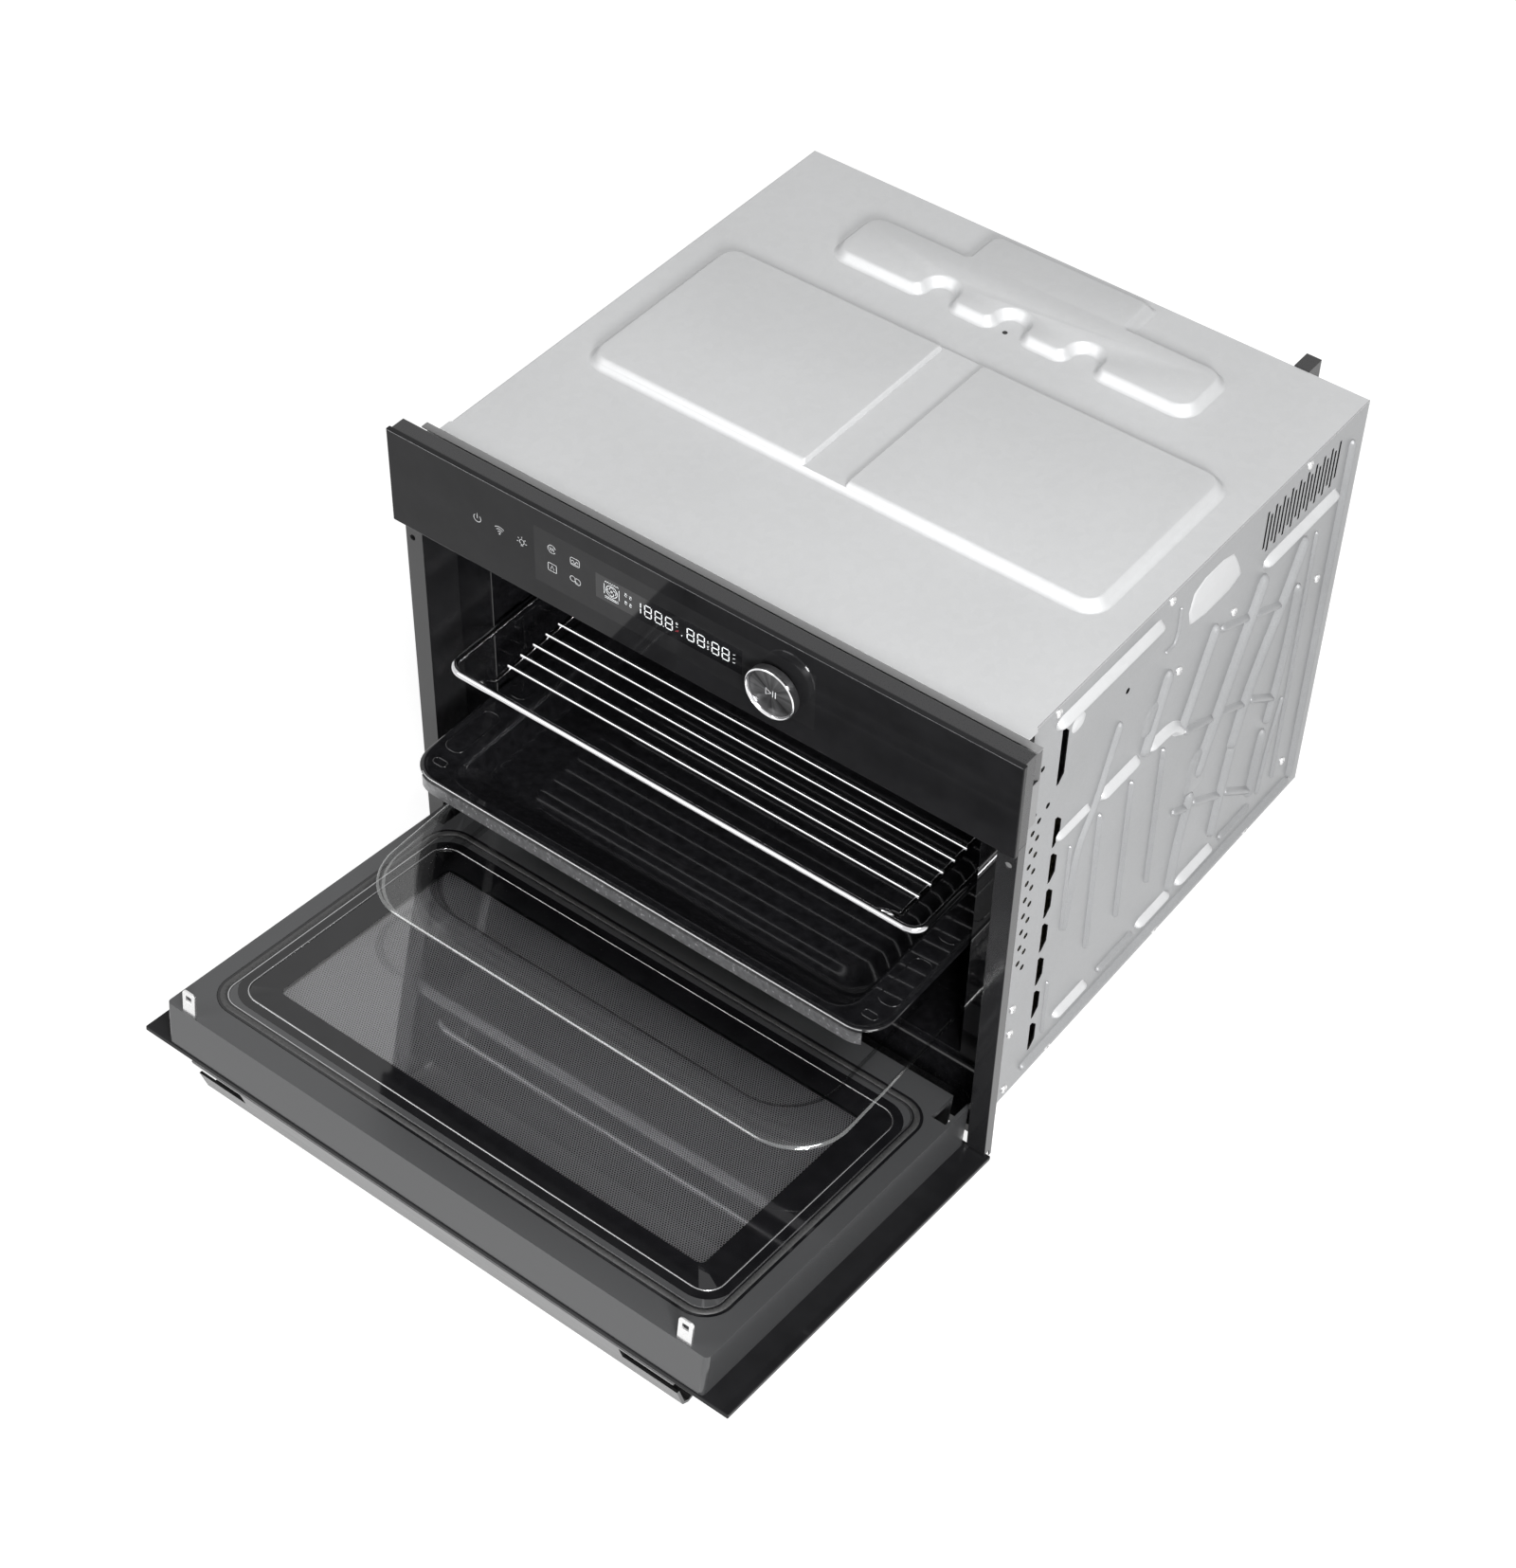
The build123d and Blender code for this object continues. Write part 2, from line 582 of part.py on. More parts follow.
def panel_support():
    half = FRONT_WIDTH / 2 - SUPPORT_INSET
    foot_z = (PLATE_TOP - CARRIER_WALL, PLATE_TOP)
    support = block(span(half), SUPPORT_DEPTH, (COVER_BOTTOM, HOUSING_HEIGHT))
    support += block(span(half), (SUPPORT_DEPTH[1] - SHEET, SUPPORT_DEPTH[1]), (foot_z[0], HOUSING_HEIGHT))
    support += block(span(half), (CARRIER_BACK, SUPPORT_DEPTH[1]), foot_z)
    rib = block((0, SHEET), (CARRIER_BACK, SUPPORT_DEPTH[1]), (foot_z[0], PANEL_MIDDLE))
    for x in (-half, half - SHEET):
        support += Pos(x, 0, 0) * rib
    return support + block(span(RECESS_HALF), (SUPPORT_DEPTH[1] - SHEET, PLATE_FRONT), foot_z)


def display_board():
    depth = (GLASS + CARRIER_WALL, GLASS + CARRIER_WALL + BOARD)
    board_z = (PANEL_MIDDLE - BOARD_HEIGHT / 2, PANEL_MIDDLE + BOARD_HEIGHT / 2)
    board = block(span(BOARD_HALF), depth, board_z)
    display_z = (PANEL_MIDDLE - DISPLAY_HALF_HEIGHT, PANEL_MIDDLE + DISPLAY_HALF_HEIGHT)
    board += block(DISPLAY_X, (depth[1], depth[1] + DISPLAY_DEPTH), display_z)
    return board - rod_y(KNOB_X, (depth[0] - CUT, depth[1] + CUT), PANEL_MIDDLE, SHAFT_HOLE)


def encoder_depth():
    """Limits of the encoder's case, which stands on the display board."""
    front = GLASS + CARRIER_WALL + BOARD
    return (front, front + ENCODER / 2)


def rotary_encoder():
    half = ENCODER / 2
    depth = encoder_depth()
    case = block((KNOB_X - half, KNOB_X + half), depth, (PANEL_MIDDLE - half, PANEL_MIDDLE + half))
    return case - rod_y(KNOB_X, (depth[0] - CUT, depth[1] + CUT), PANEL_MIDDLE, SHAFT_RADIUS + RUNNING_FIT)


def encoder_shaft():
    back = encoder_depth()[1]
    return rod_y(KNOB_X, (-KNOB_HEIGHT + KNOB_RECESS + KNOB_SKIN, back), PANEL_MIDDLE, SHAFT_RADIUS)


def knob_body():
    body = rod_y(KNOB_X, (-KNOB_HEIGHT + KNOB_RECESS, -KNOB_NECK), PANEL_MIDDLE, KNOB_RADIUS)
    body += rod_y(KNOB_X, (-KNOB_NECK, -KNOB_GAP), PANEL_MIDDLE, KNOB_NECK_RADIUS)
    return body - rod_y(
        KNOB_X,
        (-KNOB_HEIGHT + KNOB_RECESS + KNOB_SKIN - RUNNING_FIT, 0),
        PANEL_MIDDLE,
        SHAFT_RADIUS + RUNNING_FIT,
    )


def knob_ring():
    depth = (-KNOB_HEIGHT, -KNOB_HEIGHT + KNOB_RECESS)
    ring = rod_y(KNOB_X, depth, PANEL_MIDDLE, KNOB_RADIUS)
    return ring - rod_y(KNOB_X, depth, PANEL_MIDDLE, KNOB_RADIUS - KNOB_RING_WIDTH)


def knob_cap():
    depth = (-KNOB_HEIGHT + KNOB_RECESS / 4, -KNOB_HEIGHT + KNOB_RECESS)
    return rod_y(KNOB_X, depth, PANEL_MIDDLE, KNOB_RADIUS - KNOB_RING_WIDTH - RUNNING_FIT)


# Door, modelled closed

def door_outer_glass():
    return opened(block(span(FRONT_WIDTH / 2), (0, GLASS), (DOOR_BOTTOM, DOOR_TOP)))


def door_frame():
    z = (DOOR_BODY_BOTTOM, DOOR_BODY_TOP)
    frame = block(span(DOOR_BODY_HALF), (GLASS, DOOR_INNER_FACE), z)
    uprights = frame.edges().filter_by(Axis.Y)
    frame = fillet(uprights, DOOR_CORNER)
    inner_back = DOOR_INNER_FACE - DOOR_INNER_WALL
    hollow_z = (z[0] + DOOR_WALL, z[1] - DOOR_WALL)
    frame -= block(span(DOOR_BODY_HALF - DOOR_WALL), (GLASS - CUT, inner_back), hollow_z)
    frame -= upright_ring(
        GASKET_HALF,
        (DOOR_INNER_FACE - GASKET_DEPTH, DOOR_INNER_FACE + CUT),
        GASKET_Z,
        GASKET_CORNER,
        GASKET_WIDTH,
    )
    pane_depth = (DOOR_INNER_FACE - INNER_GLASS, DOOR_INNER_FACE + CUT)
    frame -= upright_slab(PANE_HALF, pane_depth, PANE_Z, INNER_GLASS_CORNER)
    frame -= block(span(WINDOW_HALF), (inner_back - CUT, DOOR_INNER_FACE), WINDOW_Z)
    notch_x = (HINGE_X + HINGE_NOTCH[0], HINGE_X + HINGE_NOTCH[1])
    cuts = block(notch_x, (GLASS - CUT, DOOR_INNER_FACE + CUT), (z[0] - CUT, HINGE_NOTCH_TOP))
    slot_z = (hollow_z[1] - HOOK_SHEET, hollow_z[1])
    cuts += block(hook_x(0), (inner_back - CUT, DOOR_INNER_FACE + CUT), slot_z)
    return opened(frame - cuts - mirrored(cuts))


def door_inner_glass():
    depth = (DOOR_INNER_FACE - INNER_GLASS, DOOR_INNER_FACE)
    return opened(upright_slab(PANE_HALF, depth, PANE_Z, INNER_GLASS_CORNER))


def door_screen():
    back = DOOR_INNER_FACE - DOOR_INNER_WALL
    z = (WINDOW_Z[0] - SCREEN_EDGE, WINDOW_Z[1] + SCREEN_EDGE)
    return opened(block(span(WINDOW_HALF + SCREEN_EDGE), (back - SCREEN, back), z))


def door_gasket():
    depth = (DOOR_INNER_FACE - GASKET_DEPTH, DOOR_INNER_FACE + GASKET_PROUD)
    return opened(upright_ring(GASKET_HALF, depth, GASKET_Z, GASKET_CORNER, GASKET_WIDTH))


def door_handle():
    half_sheet = HANDLE_SHEET / 2
    crest = DOOR_TOP - half_sheet
    bend = (-HANDLE_REACH + HANDLE_LIP / 4, crest - HANDLE_SLOPE)
    points = (
        (-half_sheet, crest - HANDLE_FLANGE),
        (-half_sheet, crest),
        bend,
        (-HANDLE_REACH, bend[1] - HANDLE_LIP / 2),
        (-HANDLE_REACH + HANDLE_LIP / 6, bend[1] - HANDLE_LIP),
    )
    handle = bent_strip(points, HANDLE_SHEET, span(HANDLE_HALF))
    grip_depth = (-HANDLE_REACH * GRIP_SHARE, -HANDLE_SHEET - GRIP_EDGE)
    grip_z = (bend[1] - HANDLE_LIP, DOOR_TOP + CUT)
    grip = block((HANDLE_HALF - GRIP_LENGTH, HANDLE_HALF + CUT), grip_depth, grip_z)
    return opened(handle - grip - mirrored(grip))


def latch_hooks():
    top = DOOR_BODY_TOP - DOOR_WALL
    tip = DOOR_INNER_FACE + HOOK_REACH
    hook = block(hook_x(0), (DOOR_INNER_FACE - 2 * DOOR_INNER_WALL, tip), (top - HOOK_SHEET, top))
    hook = fillet(hook.edges().filter_by(Axis.Z).group_by(Axis.Y)[-1], HOOK_WIDTH / 4)
    hole_x = (HOOK_X - HOOK_HOLE / 2, HOOK_X + HOOK_HOLE / 2)
    hole_depth = (tip - HOOK_HOLE * 1.7, tip - HOOK_HOLE * 0.7)
    hook -= block(hole_x, hole_depth, (top - 2 * HOOK_SHEET, top + CUT))
    return Compound(children=[opened(hook), opened(mirrored(hook))])


def hinge_arm():
    x = (HINGE_X + HINGE_SHEET / 2 + RUNNING_FIT, HINGE_X + 1.5 * HINGE_SHEET)
    depth = (HINGE_DEPTH - HINGE_BOSS, HINGE_DEPTH + HINGE_BOSS)
    arm = rod_x(x, HINGE_DEPTH, HINGE_Z, HINGE_BOSS)
    arm += block(x, depth, (HINGE_Z, HINGE_ARM))
    arm += block((x[0], DOOR_BODY_HALF - DOOR_WALL), depth, (HINGE_ARM - HINGE_FOOT, HINGE_ARM))
    return opened(arm - rod_x((x[0] - CUT, x[1] + CUT), HINGE_DEPTH, HINGE_Z, HINGE_PIN + RUNNING_FIT))


def hinge_bracket():
    x = (HINGE_X - HINGE_SHEET / 2, HINGE_X + HINGE_SHEET / 2)
    low = HINGE_Z - HINGE_BRACKET_DROP
    bracket = rod_x(x, HINGE_DEPTH, HINGE_Z, HINGE_BOSS)
    bracket += block(x, (HINGE_DEPTH, PLATE_FRONT), (low, HINGE_Z + HINGE_BOSS))
    foot_x = (x[0] - HINGE_SHEET / 2, x[1] + HINGE_SHEET)
    foot_depth = (PLATE_FRONT - HINGE_SHEET / 2, PLATE_FRONT)
    bracket += block(foot_x, foot_depth, (low, HINGE_NOTCH_TOP - HINGE_SHEET))
    return bracket + rod_x((x[0], HINGE_X + 2 * HINGE_SHEET), HINGE_DEPTH, HINGE_Z, HINGE_PIN)


# Cavity

def cavity_floor():
    return block(span(CAVITY_HALF), (HOUSING_FRONT, CAVITY_BACK), (CAVITY_FLOOR - SHEET, CAVITY_FLOOR))


def cavity_roof():
    return block(span(CAVITY_HALF), (HOUSING_FRONT, CAVITY_BACK), (CAVITY_TOP, CAVITY_TOP + SHEET))


def cavity_wall():
    return block(
        (CAVITY_HALF, CAVITY_HALF + SHEET),
        (HOUSING_FRONT, CAVITY_BACK),
        (CAVITY_FLOOR - SHEET, CAVITY_TOP + SHEET),
    )


def cavity_wall_left():
    lamp_hole = Pos(-CAVITY_HALF, lamp_depth() - ORIGIN_DEPTH, lamp_z()) * Rot(0, 90, 0)
    return mirrored(cavity_wall()) - lamp_hole * Cylinder(LAMP_RADIUS - LAMP_SEAT, 6 * SHEET)


def cavity_back():
    z = (CAVITY_FLOOR - SHEET, CAVITY_TOP + SHEET)
    back = block(span(CAVITY_HALF + SHEET), (CAVITY_BACK, CAVITY_BACK + SHEET), z)
    through = (CAVITY_BACK - CUT, CAVITY_BACK + 2 * SHEET)
    back -= rod_y(0, through, CAVITY_MIDDLE, SHAFT_HOLE)
    for ring, count in zip(BACK_HOLE_RINGS, BACK_HOLE_COUNTS):
        for step in range(count):
            turn = 2 * pi * step / count
            back -= rod_y(ring * cos(turn), through, CAVITY_MIDDLE + ring * sin(turn), BACK_HOLE_RADIUS)
    return back


def shelf_rails():
    x = (CAVITY_HALF - RAIL_WIDTH, CAVITY_HALF)
    depth = (HOUSING_FRONT + RAIL_ENDS[0], CAVITY_BACK - RAIL_ENDS[1])
    post_z = (RAIL_TOPS[0] - RAIL_HEIGHT, RAIL_TOPS[-1] + RAIL_HEIGHT)
    rails = Part()
    for front in (depth[0] + RAIL_POST_INSET, depth[1] - RAIL_POST_INSET - RAIL_POST):
        rails += block((CAVITY_HALF - SHELF_GAP / 2, CAVITY_HALF), (front, front + RAIL_POST), post_z)
    for top in RAIL_TOPS:
        rails += block(x, depth, (top - RAIL_HEIGHT, top))
    return rails


def insulation():
    z = (CAVITY_FLOOR - SHEET, CAVITY_TOP + SHEET)
    outer_z = (z[0] - INSULATION, z[1] + INSULATION)
    depth = (HOUSING_FRONT + INSULATION_INSET, CAVITY_BACK - INSULATION_INSET)
    inner_half = CAVITY_HALF + SHEET
    wrap = block(span(inner_half + INSULATION), depth, outer_z)
    wrap -= block(span(inner_half), (depth[0] - CUT, depth[1] + CUT), z)
    lamp_hole = Pos(-inner_half, lamp_depth() - ORIGIN_DEPTH, lamp_z()) * Rot(0, 90, 0)
    return wrap - lamp_hole * Cylinder(LAMP_RADIUS + SHEET, 4 * INSULATION)


# Shelves

def rod_loop(half, depth, z, corner, radius):
    """Closed rectangular loop of round rod, with rounded corners."""
    straight = half - corner
    runs = (depth[0] + corner, depth[1] - corner)
    loop = Part()
    for side in span(half):
        loop += rod_y(side, runs, z, radius)
    for end in depth:
        loop += rod_x(span(straight), end, z, radius)
    section = Plane.XZ * Pos(corner, 0) * Circle(radius)
    elbow = revolve(section, axis=Axis.Z, revolution_arc=90)
    corners = ((straight, runs[1]), (-straight, runs[1]), (-straight, runs[0]), (straight, runs[0]))
    for number, (x, middle) in enumerate(corners):
        loop += Pos(x, middle - ORIGIN_DEPTH, z) * Rot(0, 0, 90 * number) * elbow
    return loop


def rack_wires():
    """Depths of the cross wires, from front to back."""
    count = int((SHELF_LENGTH - RACK_FIRST_WIRE - RACK_RISER_RUN - RACK_ROD) / RACK_WIRE_STEP)
    return [RACK_FRONT + RACK_FIRST_WIRE + RACK_WIRE_STEP * number for number in range(count)]


def bent_rod(points, radius):
    """Round bar through (x, depth, z) points, with round bends."""
    places = [Vector(x, depth - ORIGIN_DEPTH, z) for x, depth, z in points]
    bar = Part()
    for start, end in zip(places, places[1:]):
        run = end - start
        bar += Plane(start, z_dir=run) * Pos(0, 0, run.length / 2) * Cylinder(radius, run.length)
    for bend in places[1:-1]:
        bar += Pos(*bend) * Sphere(radius)
    return bar


def wire_rack():
    depth = (RACK_FRONT, RACK_FRONT + SHELF_LENGTH)
    rack = rod_loop(SHELF_HALF - RACK_ROD, depth, RACK_Z, RACK_CORNER, RACK_ROD)
    wire_z = RACK_Z - RACK_DROP
    carrier_z = wire_z - RACK_CARRIER
    for x in span(RACK_CARRIER_HALF):
        rack += bent_rod(
            [
                (x, depth[0], RACK_Z), (x, depth[0] + RACK_RISER_RUN, carrier_z),
                (x, depth[1] - RACK_RISER_RUN, carrier_z), (x, depth[1], RACK_Z),
            ],
            RACK_CARRIER,
        )
    for wire in rack_wires():
        rack += rod_x(span(RACK_CARRIER_HALF + RACK_CARRIER), wire, wire_z, RACK_WIRE)
    return rack


def pan(half, depth, top, wall, rim, well, slope, corner, mouth_corner):
    """Shelf pan: a flat rim round a well with sloping sides. Rim and slope are given for sides and ends."""
    shelf = extrude(flat_outline(half, depth, top - wall, corner), wall)
    mouth_half = half - rim[0]
    mouth = (depth[0] + rim[1], depth[1] - rim[1])
    floor_half = mouth_half - slope[0]
    floor = (mouth[0] + slope[1], mouth[1] - slope[1])
    low = top - wall - well
    bowl = loft([
        flat_outline(mouth_half + wall, (mouth[0] - wall, mouth[1] + wall), top - wall, mouth_corner + wall),
        flat_outline(floor_half + wall, (floor[0] - wall, floor[1] + wall), low, mouth_corner),
    ])
    hollow = loft([
        flat_outline(mouth_half, mouth, top, mouth_corner),
        flat_outline(floor_half, floor, low + wall, mouth_corner - wall),
    ])
    return shelf + bowl - hollow


def baking_tray():
    depth = (TRAY_FRONT, TRAY_FRONT + SHELF_LENGTH)
    return pan(
        SHELF_HALF, depth, TRAY_Z, TRAY_SHEET, TRAY_RIM, TRAY_BASIN, TRAY_SLOPE,
        TRAY_CORNER, TRAY_MOUTH_CORNER,
    )


def glass_tray():
    depth = (DISH_FRONT, DISH_FRONT + DISH_LENGTH)
    return pan(
        SHELF_HALF, depth, DISH_Z, DISH_GLASS, DISH_RIM, DISH_WELL, DISH_SLOPE,
        DISH_CORNER, DISH_MOUTH_CORNER,
    )


# Heating and light

def fan_chamber():
    depth = (CAVITY_BACK + SHEET, CAVITY_BACK + SHEET + CHAMBER_DEPTH)
    z = (CAVITY_MIDDLE - CHAMBER_HALF, CAVITY_MIDDLE + CHAMBER_HALF)
    chamber = block(span(CHAMBER_HALF), depth, z)
    chamber -= block(
        span(CHAMBER_HALF - SHEET),
        (depth[0] - CUT, depth[1] - SHEET),
        (z[0] + SHEET, z[1] - SHEET),
    )
    return chamber - rod_y(0, (depth[0], depth[1] + CUT), CAVITY_MIDDLE, SHAFT_HOLE)


def convection_fan():
    front = CAVITY_BACK + SHEET + FAN_GAP
    back = front + FAN_WIDTH
    fan = rod_y(0, (back - SHEET, back), CAVITY_MIDDLE, FAN_RADIUS)
    fan += rod_y(0, (front, back), CAVITY_MIDDLE, FAN_HUB)
    fan += rod_y(0, (front, motor_depth()[0] + MOTOR_BORE), CAVITY_MIDDLE, SHAFT_RADIUS)
    blade = block((FAN_BLADE_START, FAN_RADIUS), (front, back), span(SHEET))
    for number in range(FAN_BLADES):
        fan += Pos(0, 0, CAVITY_MIDDLE) * Rot(0, 360 * number / FAN_BLADES, 0) * blade
    return fan


def motor_depth():
    """Limits of the convection motor, behind the fan chamber."""
    front = CAVITY_BACK + SHEET + CHAMBER_DEPTH
    return (front, HOUSING_BACK - SHEET - MOTOR_GAP)


def convection_motor():
    depth = motor_depth()
    motor = rod_y(0, depth, CAVITY_MIDDLE, MOTOR_RADIUS)
    ear_z = (CAVITY_MIDDLE - MOTOR_EAR, CAVITY_MIDDLE + MOTOR_EAR)
    motor += block(span(MOTOR_RADIUS + MOTOR_EAR), (depth[0], depth[0] + 2 * SHEET), ear_z)
    bore_depth = (depth[0] - CUT, depth[0] + MOTOR_BORE + CUT)
    return motor - rod_y(0, bore_depth, CAVITY_MIDDLE, SHAFT_RADIUS + RUNNING_FIT)


def ring_heater():
    middle = CAVITY_BACK + SHEET + CHAMBER_DEPTH / 2
    radius = (FAN_RADIUS + CHAMBER_HALF) / 2
    heater = Pos(0, middle - ORIGIN_DEPTH, CAVITY_MIDDLE) * Rot(90, 0, 0) * Torus(radius, HEATER_ROD)
    leg_depth = (middle - HEATER_ROD - SHEET, CAVITY_BACK + CHAMBER_DEPTH)
    leg_z = CAVITY_MIDDLE - (radius * radius - HEATER_LEG_X * HEATER_LEG_X) ** 0.5
    for x in span(HEATER_LEG_X):
        heater += rod_y(x, leg_depth, leg_z, HEATER_ROD + SHEET)
    return heater


def grill_heater():
    z = CAVITY_TOP - GRILL_DROP
    back = CAVITY_BACK - ORIGIN_DEPTH
    front = HOUSING_FRONT + GRILL_SETBACK - ORIGIN_DEPTH
    turn = back - GRILL_SETBACK
    outer = CAVITY_HALF - GRILL_MARGIN
    half = [(outer, back), (outer, front), (GRILL_INNER, front), (GRILL_INNER, turn)]
    corners = [(-x, y, z) for x, y in half] + [(x, y, z) for x, y in reversed(half)]
    path = FilletPolyline(*corners, radius=GRILL_BEND)
    start = Plane(path @ 0, z_dir=path % 0)
    return sweep(start * Circle(HEATER_ROD), path)


def lamp_depth():
    """How far back the lamp sits."""
    return HOUSING_FRONT + CAVITY_DEPTH * LAMP_DEPTH_SHARE


def lamp_z():
    """Height of the lamp, over the upper shelf."""
    return CAVITY_TOP - LAMP_RADIUS - LAMP_DROP


def lamp_cylinder(x, radius):
    place = Pos((x[0] + x[1]) / 2, lamp_depth() - ORIGIN_DEPTH, lamp_z())
    return place * Rot(0, 90, 0) * Cylinder(radius, x[1] - x[0])


def lamp_housing():
    outer = -CAVITY_HALF - SHEET
    return lamp_cylinder((outer - INSULATION - LAMP_CAP, outer), LAMP_RADIUS)


def lamp_lens():
    return lamp_cylinder((-CAVITY_HALF, -CAVITY_HALF + SHELF_GAP / 2), LAMP_RADIUS)


# Power and cooling, on the deck over the cavity

def upper_deck():
    return block(span(HOUSING_HALF - SHEET), (HOUSING_FRONT, HOUSING_BACK - SHEET), (DECK_Z, DECK_TOP))


def on_deck(x, depth, height):
    """Box that stands on the deck."""
    return block(x, depth, (DECK_TOP, DECK_TOP + height))


def magnetron():
    body = on_deck(MAGNETRON_X, MAGNETRON_DEPTH, MAGNETRON_HEIGHT)
    through = (MAGNETRON_DEPTH[0] - CUT, MAGNETRON_DEPTH[1] + CUT)
    for fin in range(FIN_COUNT):
        low = DECK_TOP + FIN_STEP * (fin + 1)
        for end, inner in zip(MAGNETRON_X, (FIN_LENGTH, -FIN_LENGTH)):
            body -= block(sorted((end - inner, end + inner)), through, (low, low + FIN_SLOT))
    return body


def waveguide():
    x = (MAGNETRON_X[1], MAGNETRON_X[1] + WAVEGUIDE_LENGTH)
    depth = (MAGNETRON_DEPTH[0] + WAVEGUIDE_INSET, MAGNETRON_DEPTH[1] - WAVEGUIDE_INSET)
    return on_deck(x, depth, WAVEGUIDE_HEIGHT)


def inverter():
    board = on_deck(INVERTER_X, INVERTER_DEPTH, DECK_BOARD)
    left = INVERTER_X[0] + PIECE_MARGIN
    front = INVERTER_DEPTH[0] + PIECE_MARGIN
    board += on_deck((left, left + TRANSFORMER), (front, front + TRANSFORMER), TRANSFORMER_HEIGHT)
    right = INVERTER_X[1] - PIECE_MARGIN
    back = INVERTER_DEPTH[1] - PIECE_MARGIN
    return board + on_deck((right - HEAT_SINK, right), (front, back), HEAT_SINK_HEIGHT)


def power_board():
    left = POWER_BOARD_INSET - HOUSING_HALF
    board = on_deck((left, left + POWER_BOARD_WIDTH), POWER_BOARD_DEPTH, DECK_BOARD)
    relay_left = left + PIECE_MARGIN
    front = POWER_BOARD_DEPTH[0] + PIECE_MARGIN
    return board + on_deck((relay_left, relay_left + RELAY), (front, front + RELAY), RELAY_HEIGHT)


def mains_terminal():
    back = HOUSING_BACK - SHEET
    front = back - TERMINAL_DEPTH
    terminal = on_deck(TERMINAL_X, (front, back), TERMINAL_HEIGHT)
    pitch = (TERMINAL_X[1] - TERMINAL_X[0]) / TERMINAL_WAYS
    way_z = (DECK_TOP + TERMINAL_HEIGHT / 2, DECK_TOP + TERMINAL_HEIGHT + CUT)
    for way in range(TERMINAL_WAYS):
        left = TERMINAL_X[0] + pitch * way + (pitch - TERMINAL_WAY) / 2
        terminal -= block((left, left + TERMINAL_WAY), (front - CUT, (front + back) / 2), way_z)
    return terminal


def blower_z():
    """Height of the blower's shaft."""
    return DECK_TOP + BLOWER_RADIUS + BLOWER_CASE_GAP + BLOWER_SHEET


def blower_housing():
    outer = BLOWER_RADIUS + BLOWER_CASE_GAP
    z = (DECK_TOP, blower_z() + outer)
    depth = (BLOWER_DEPTH - outer, BLOWER_DEPTH + outer)
    housing = block(span(BLOWER_HALF + 2 * BLOWER_SHEET), depth, z)
    housing -= block(
        span(BLOWER_HALF + BLOWER_SHEET),
        (depth[0] - CUT, depth[1] - BLOWER_SHEET),
        (z[0] + BLOWER_SHEET, z[1] - BLOWER_SHEET),
    )
    bore_half = BLOWER_HALF + 3 * BLOWER_SHEET
    return housing - rod_x(span(bore_half), BLOWER_DEPTH, blower_z(), SHAFT_RADIUS + RUNNING_FIT)


def blower_wheel():
    shaft_x = (-BLOWER_HALF - 2 * BLOWER_SHEET, blower_motor_x()[0] + MOTOR_BORE)
    wheel = rod_x(shaft_x, BLOWER_DEPTH, blower_z(), SHAFT_RADIUS)
    for left in (-BLOWER_HALF, 0, BLOWER_HALF - BLOWER_SHEET):
        wheel += rod_x((left, left + BLOWER_SHEET), BLOWER_DEPTH, blower_z(), BLOWER_RADIUS)
    vane_end = ORIGIN_DEPTH + BLOWER_RADIUS - BLOWER_SHEET / 2
    vane = block(span(BLOWER_HALF), (vane_end - BLOWER_VANE, vane_end), span(BLOWER_VANE_HALF))
    shaft = Pos(0, BLOWER_DEPTH - ORIGIN_DEPTH, blower_z())
    for number in range(BLOWER_VANES):
        wheel += shaft * Rot(360 * number / BLOWER_VANES, 0, 0) * vane
    return wheel


def blower_motor_x():
    """Limits of the blower's motor, beside its housing."""
    left = BLOWER_HALF + 2 * BLOWER_SHEET
    return (left, left + BLOWER_MOTOR_LENGTH)


def blower_motor():
    x = blower_motor_x()
    motor = rod_x(x, BLOWER_DEPTH, blower_z(), BLOWER_RADIUS - 2 * BLOWER_SHEET)
    foot_x = (x[0] + BLOWER_FOOT, x[1] - BLOWER_FOOT)
    motor += block(foot_x, (BLOWER_DEPTH - BLOWER_FOOT, BLOWER_DEPTH + BLOWER_FOOT), (DECK_TOP, blower_z()))
    bore_x = (x[0] - CUT, x[0] + MOTOR_BORE + CUT)
    return motor - rod_x(bore_x, BLOWER_DEPTH, blower_z(), SHAFT_RADIUS + RUNNING_FIT)


def latch_switch():
    slot_z = (DOOR_BODY_TOP - HOOK_SLOT_HALF, DOOR_BODY_TOP + HOOK_SLOT_HALF)
    case_z = (slot_z[0] - SWITCH_WALL, slot_z[1] + SWITCH_WALL)
    case = block(hook_x(SWITCH_MARGIN), (HOUSING_FRONT, HOUSING_FRONT + SWITCH_DEPTH), case_z)
    slot_depth = (HOUSING_FRONT - CUT, HOUSING_FRONT + SWITCH_DEPTH - 2 * SWITCH_WALL)
    return case - block(hook_x(HOOK_CLEARANCE), slot_depth, slot_z)


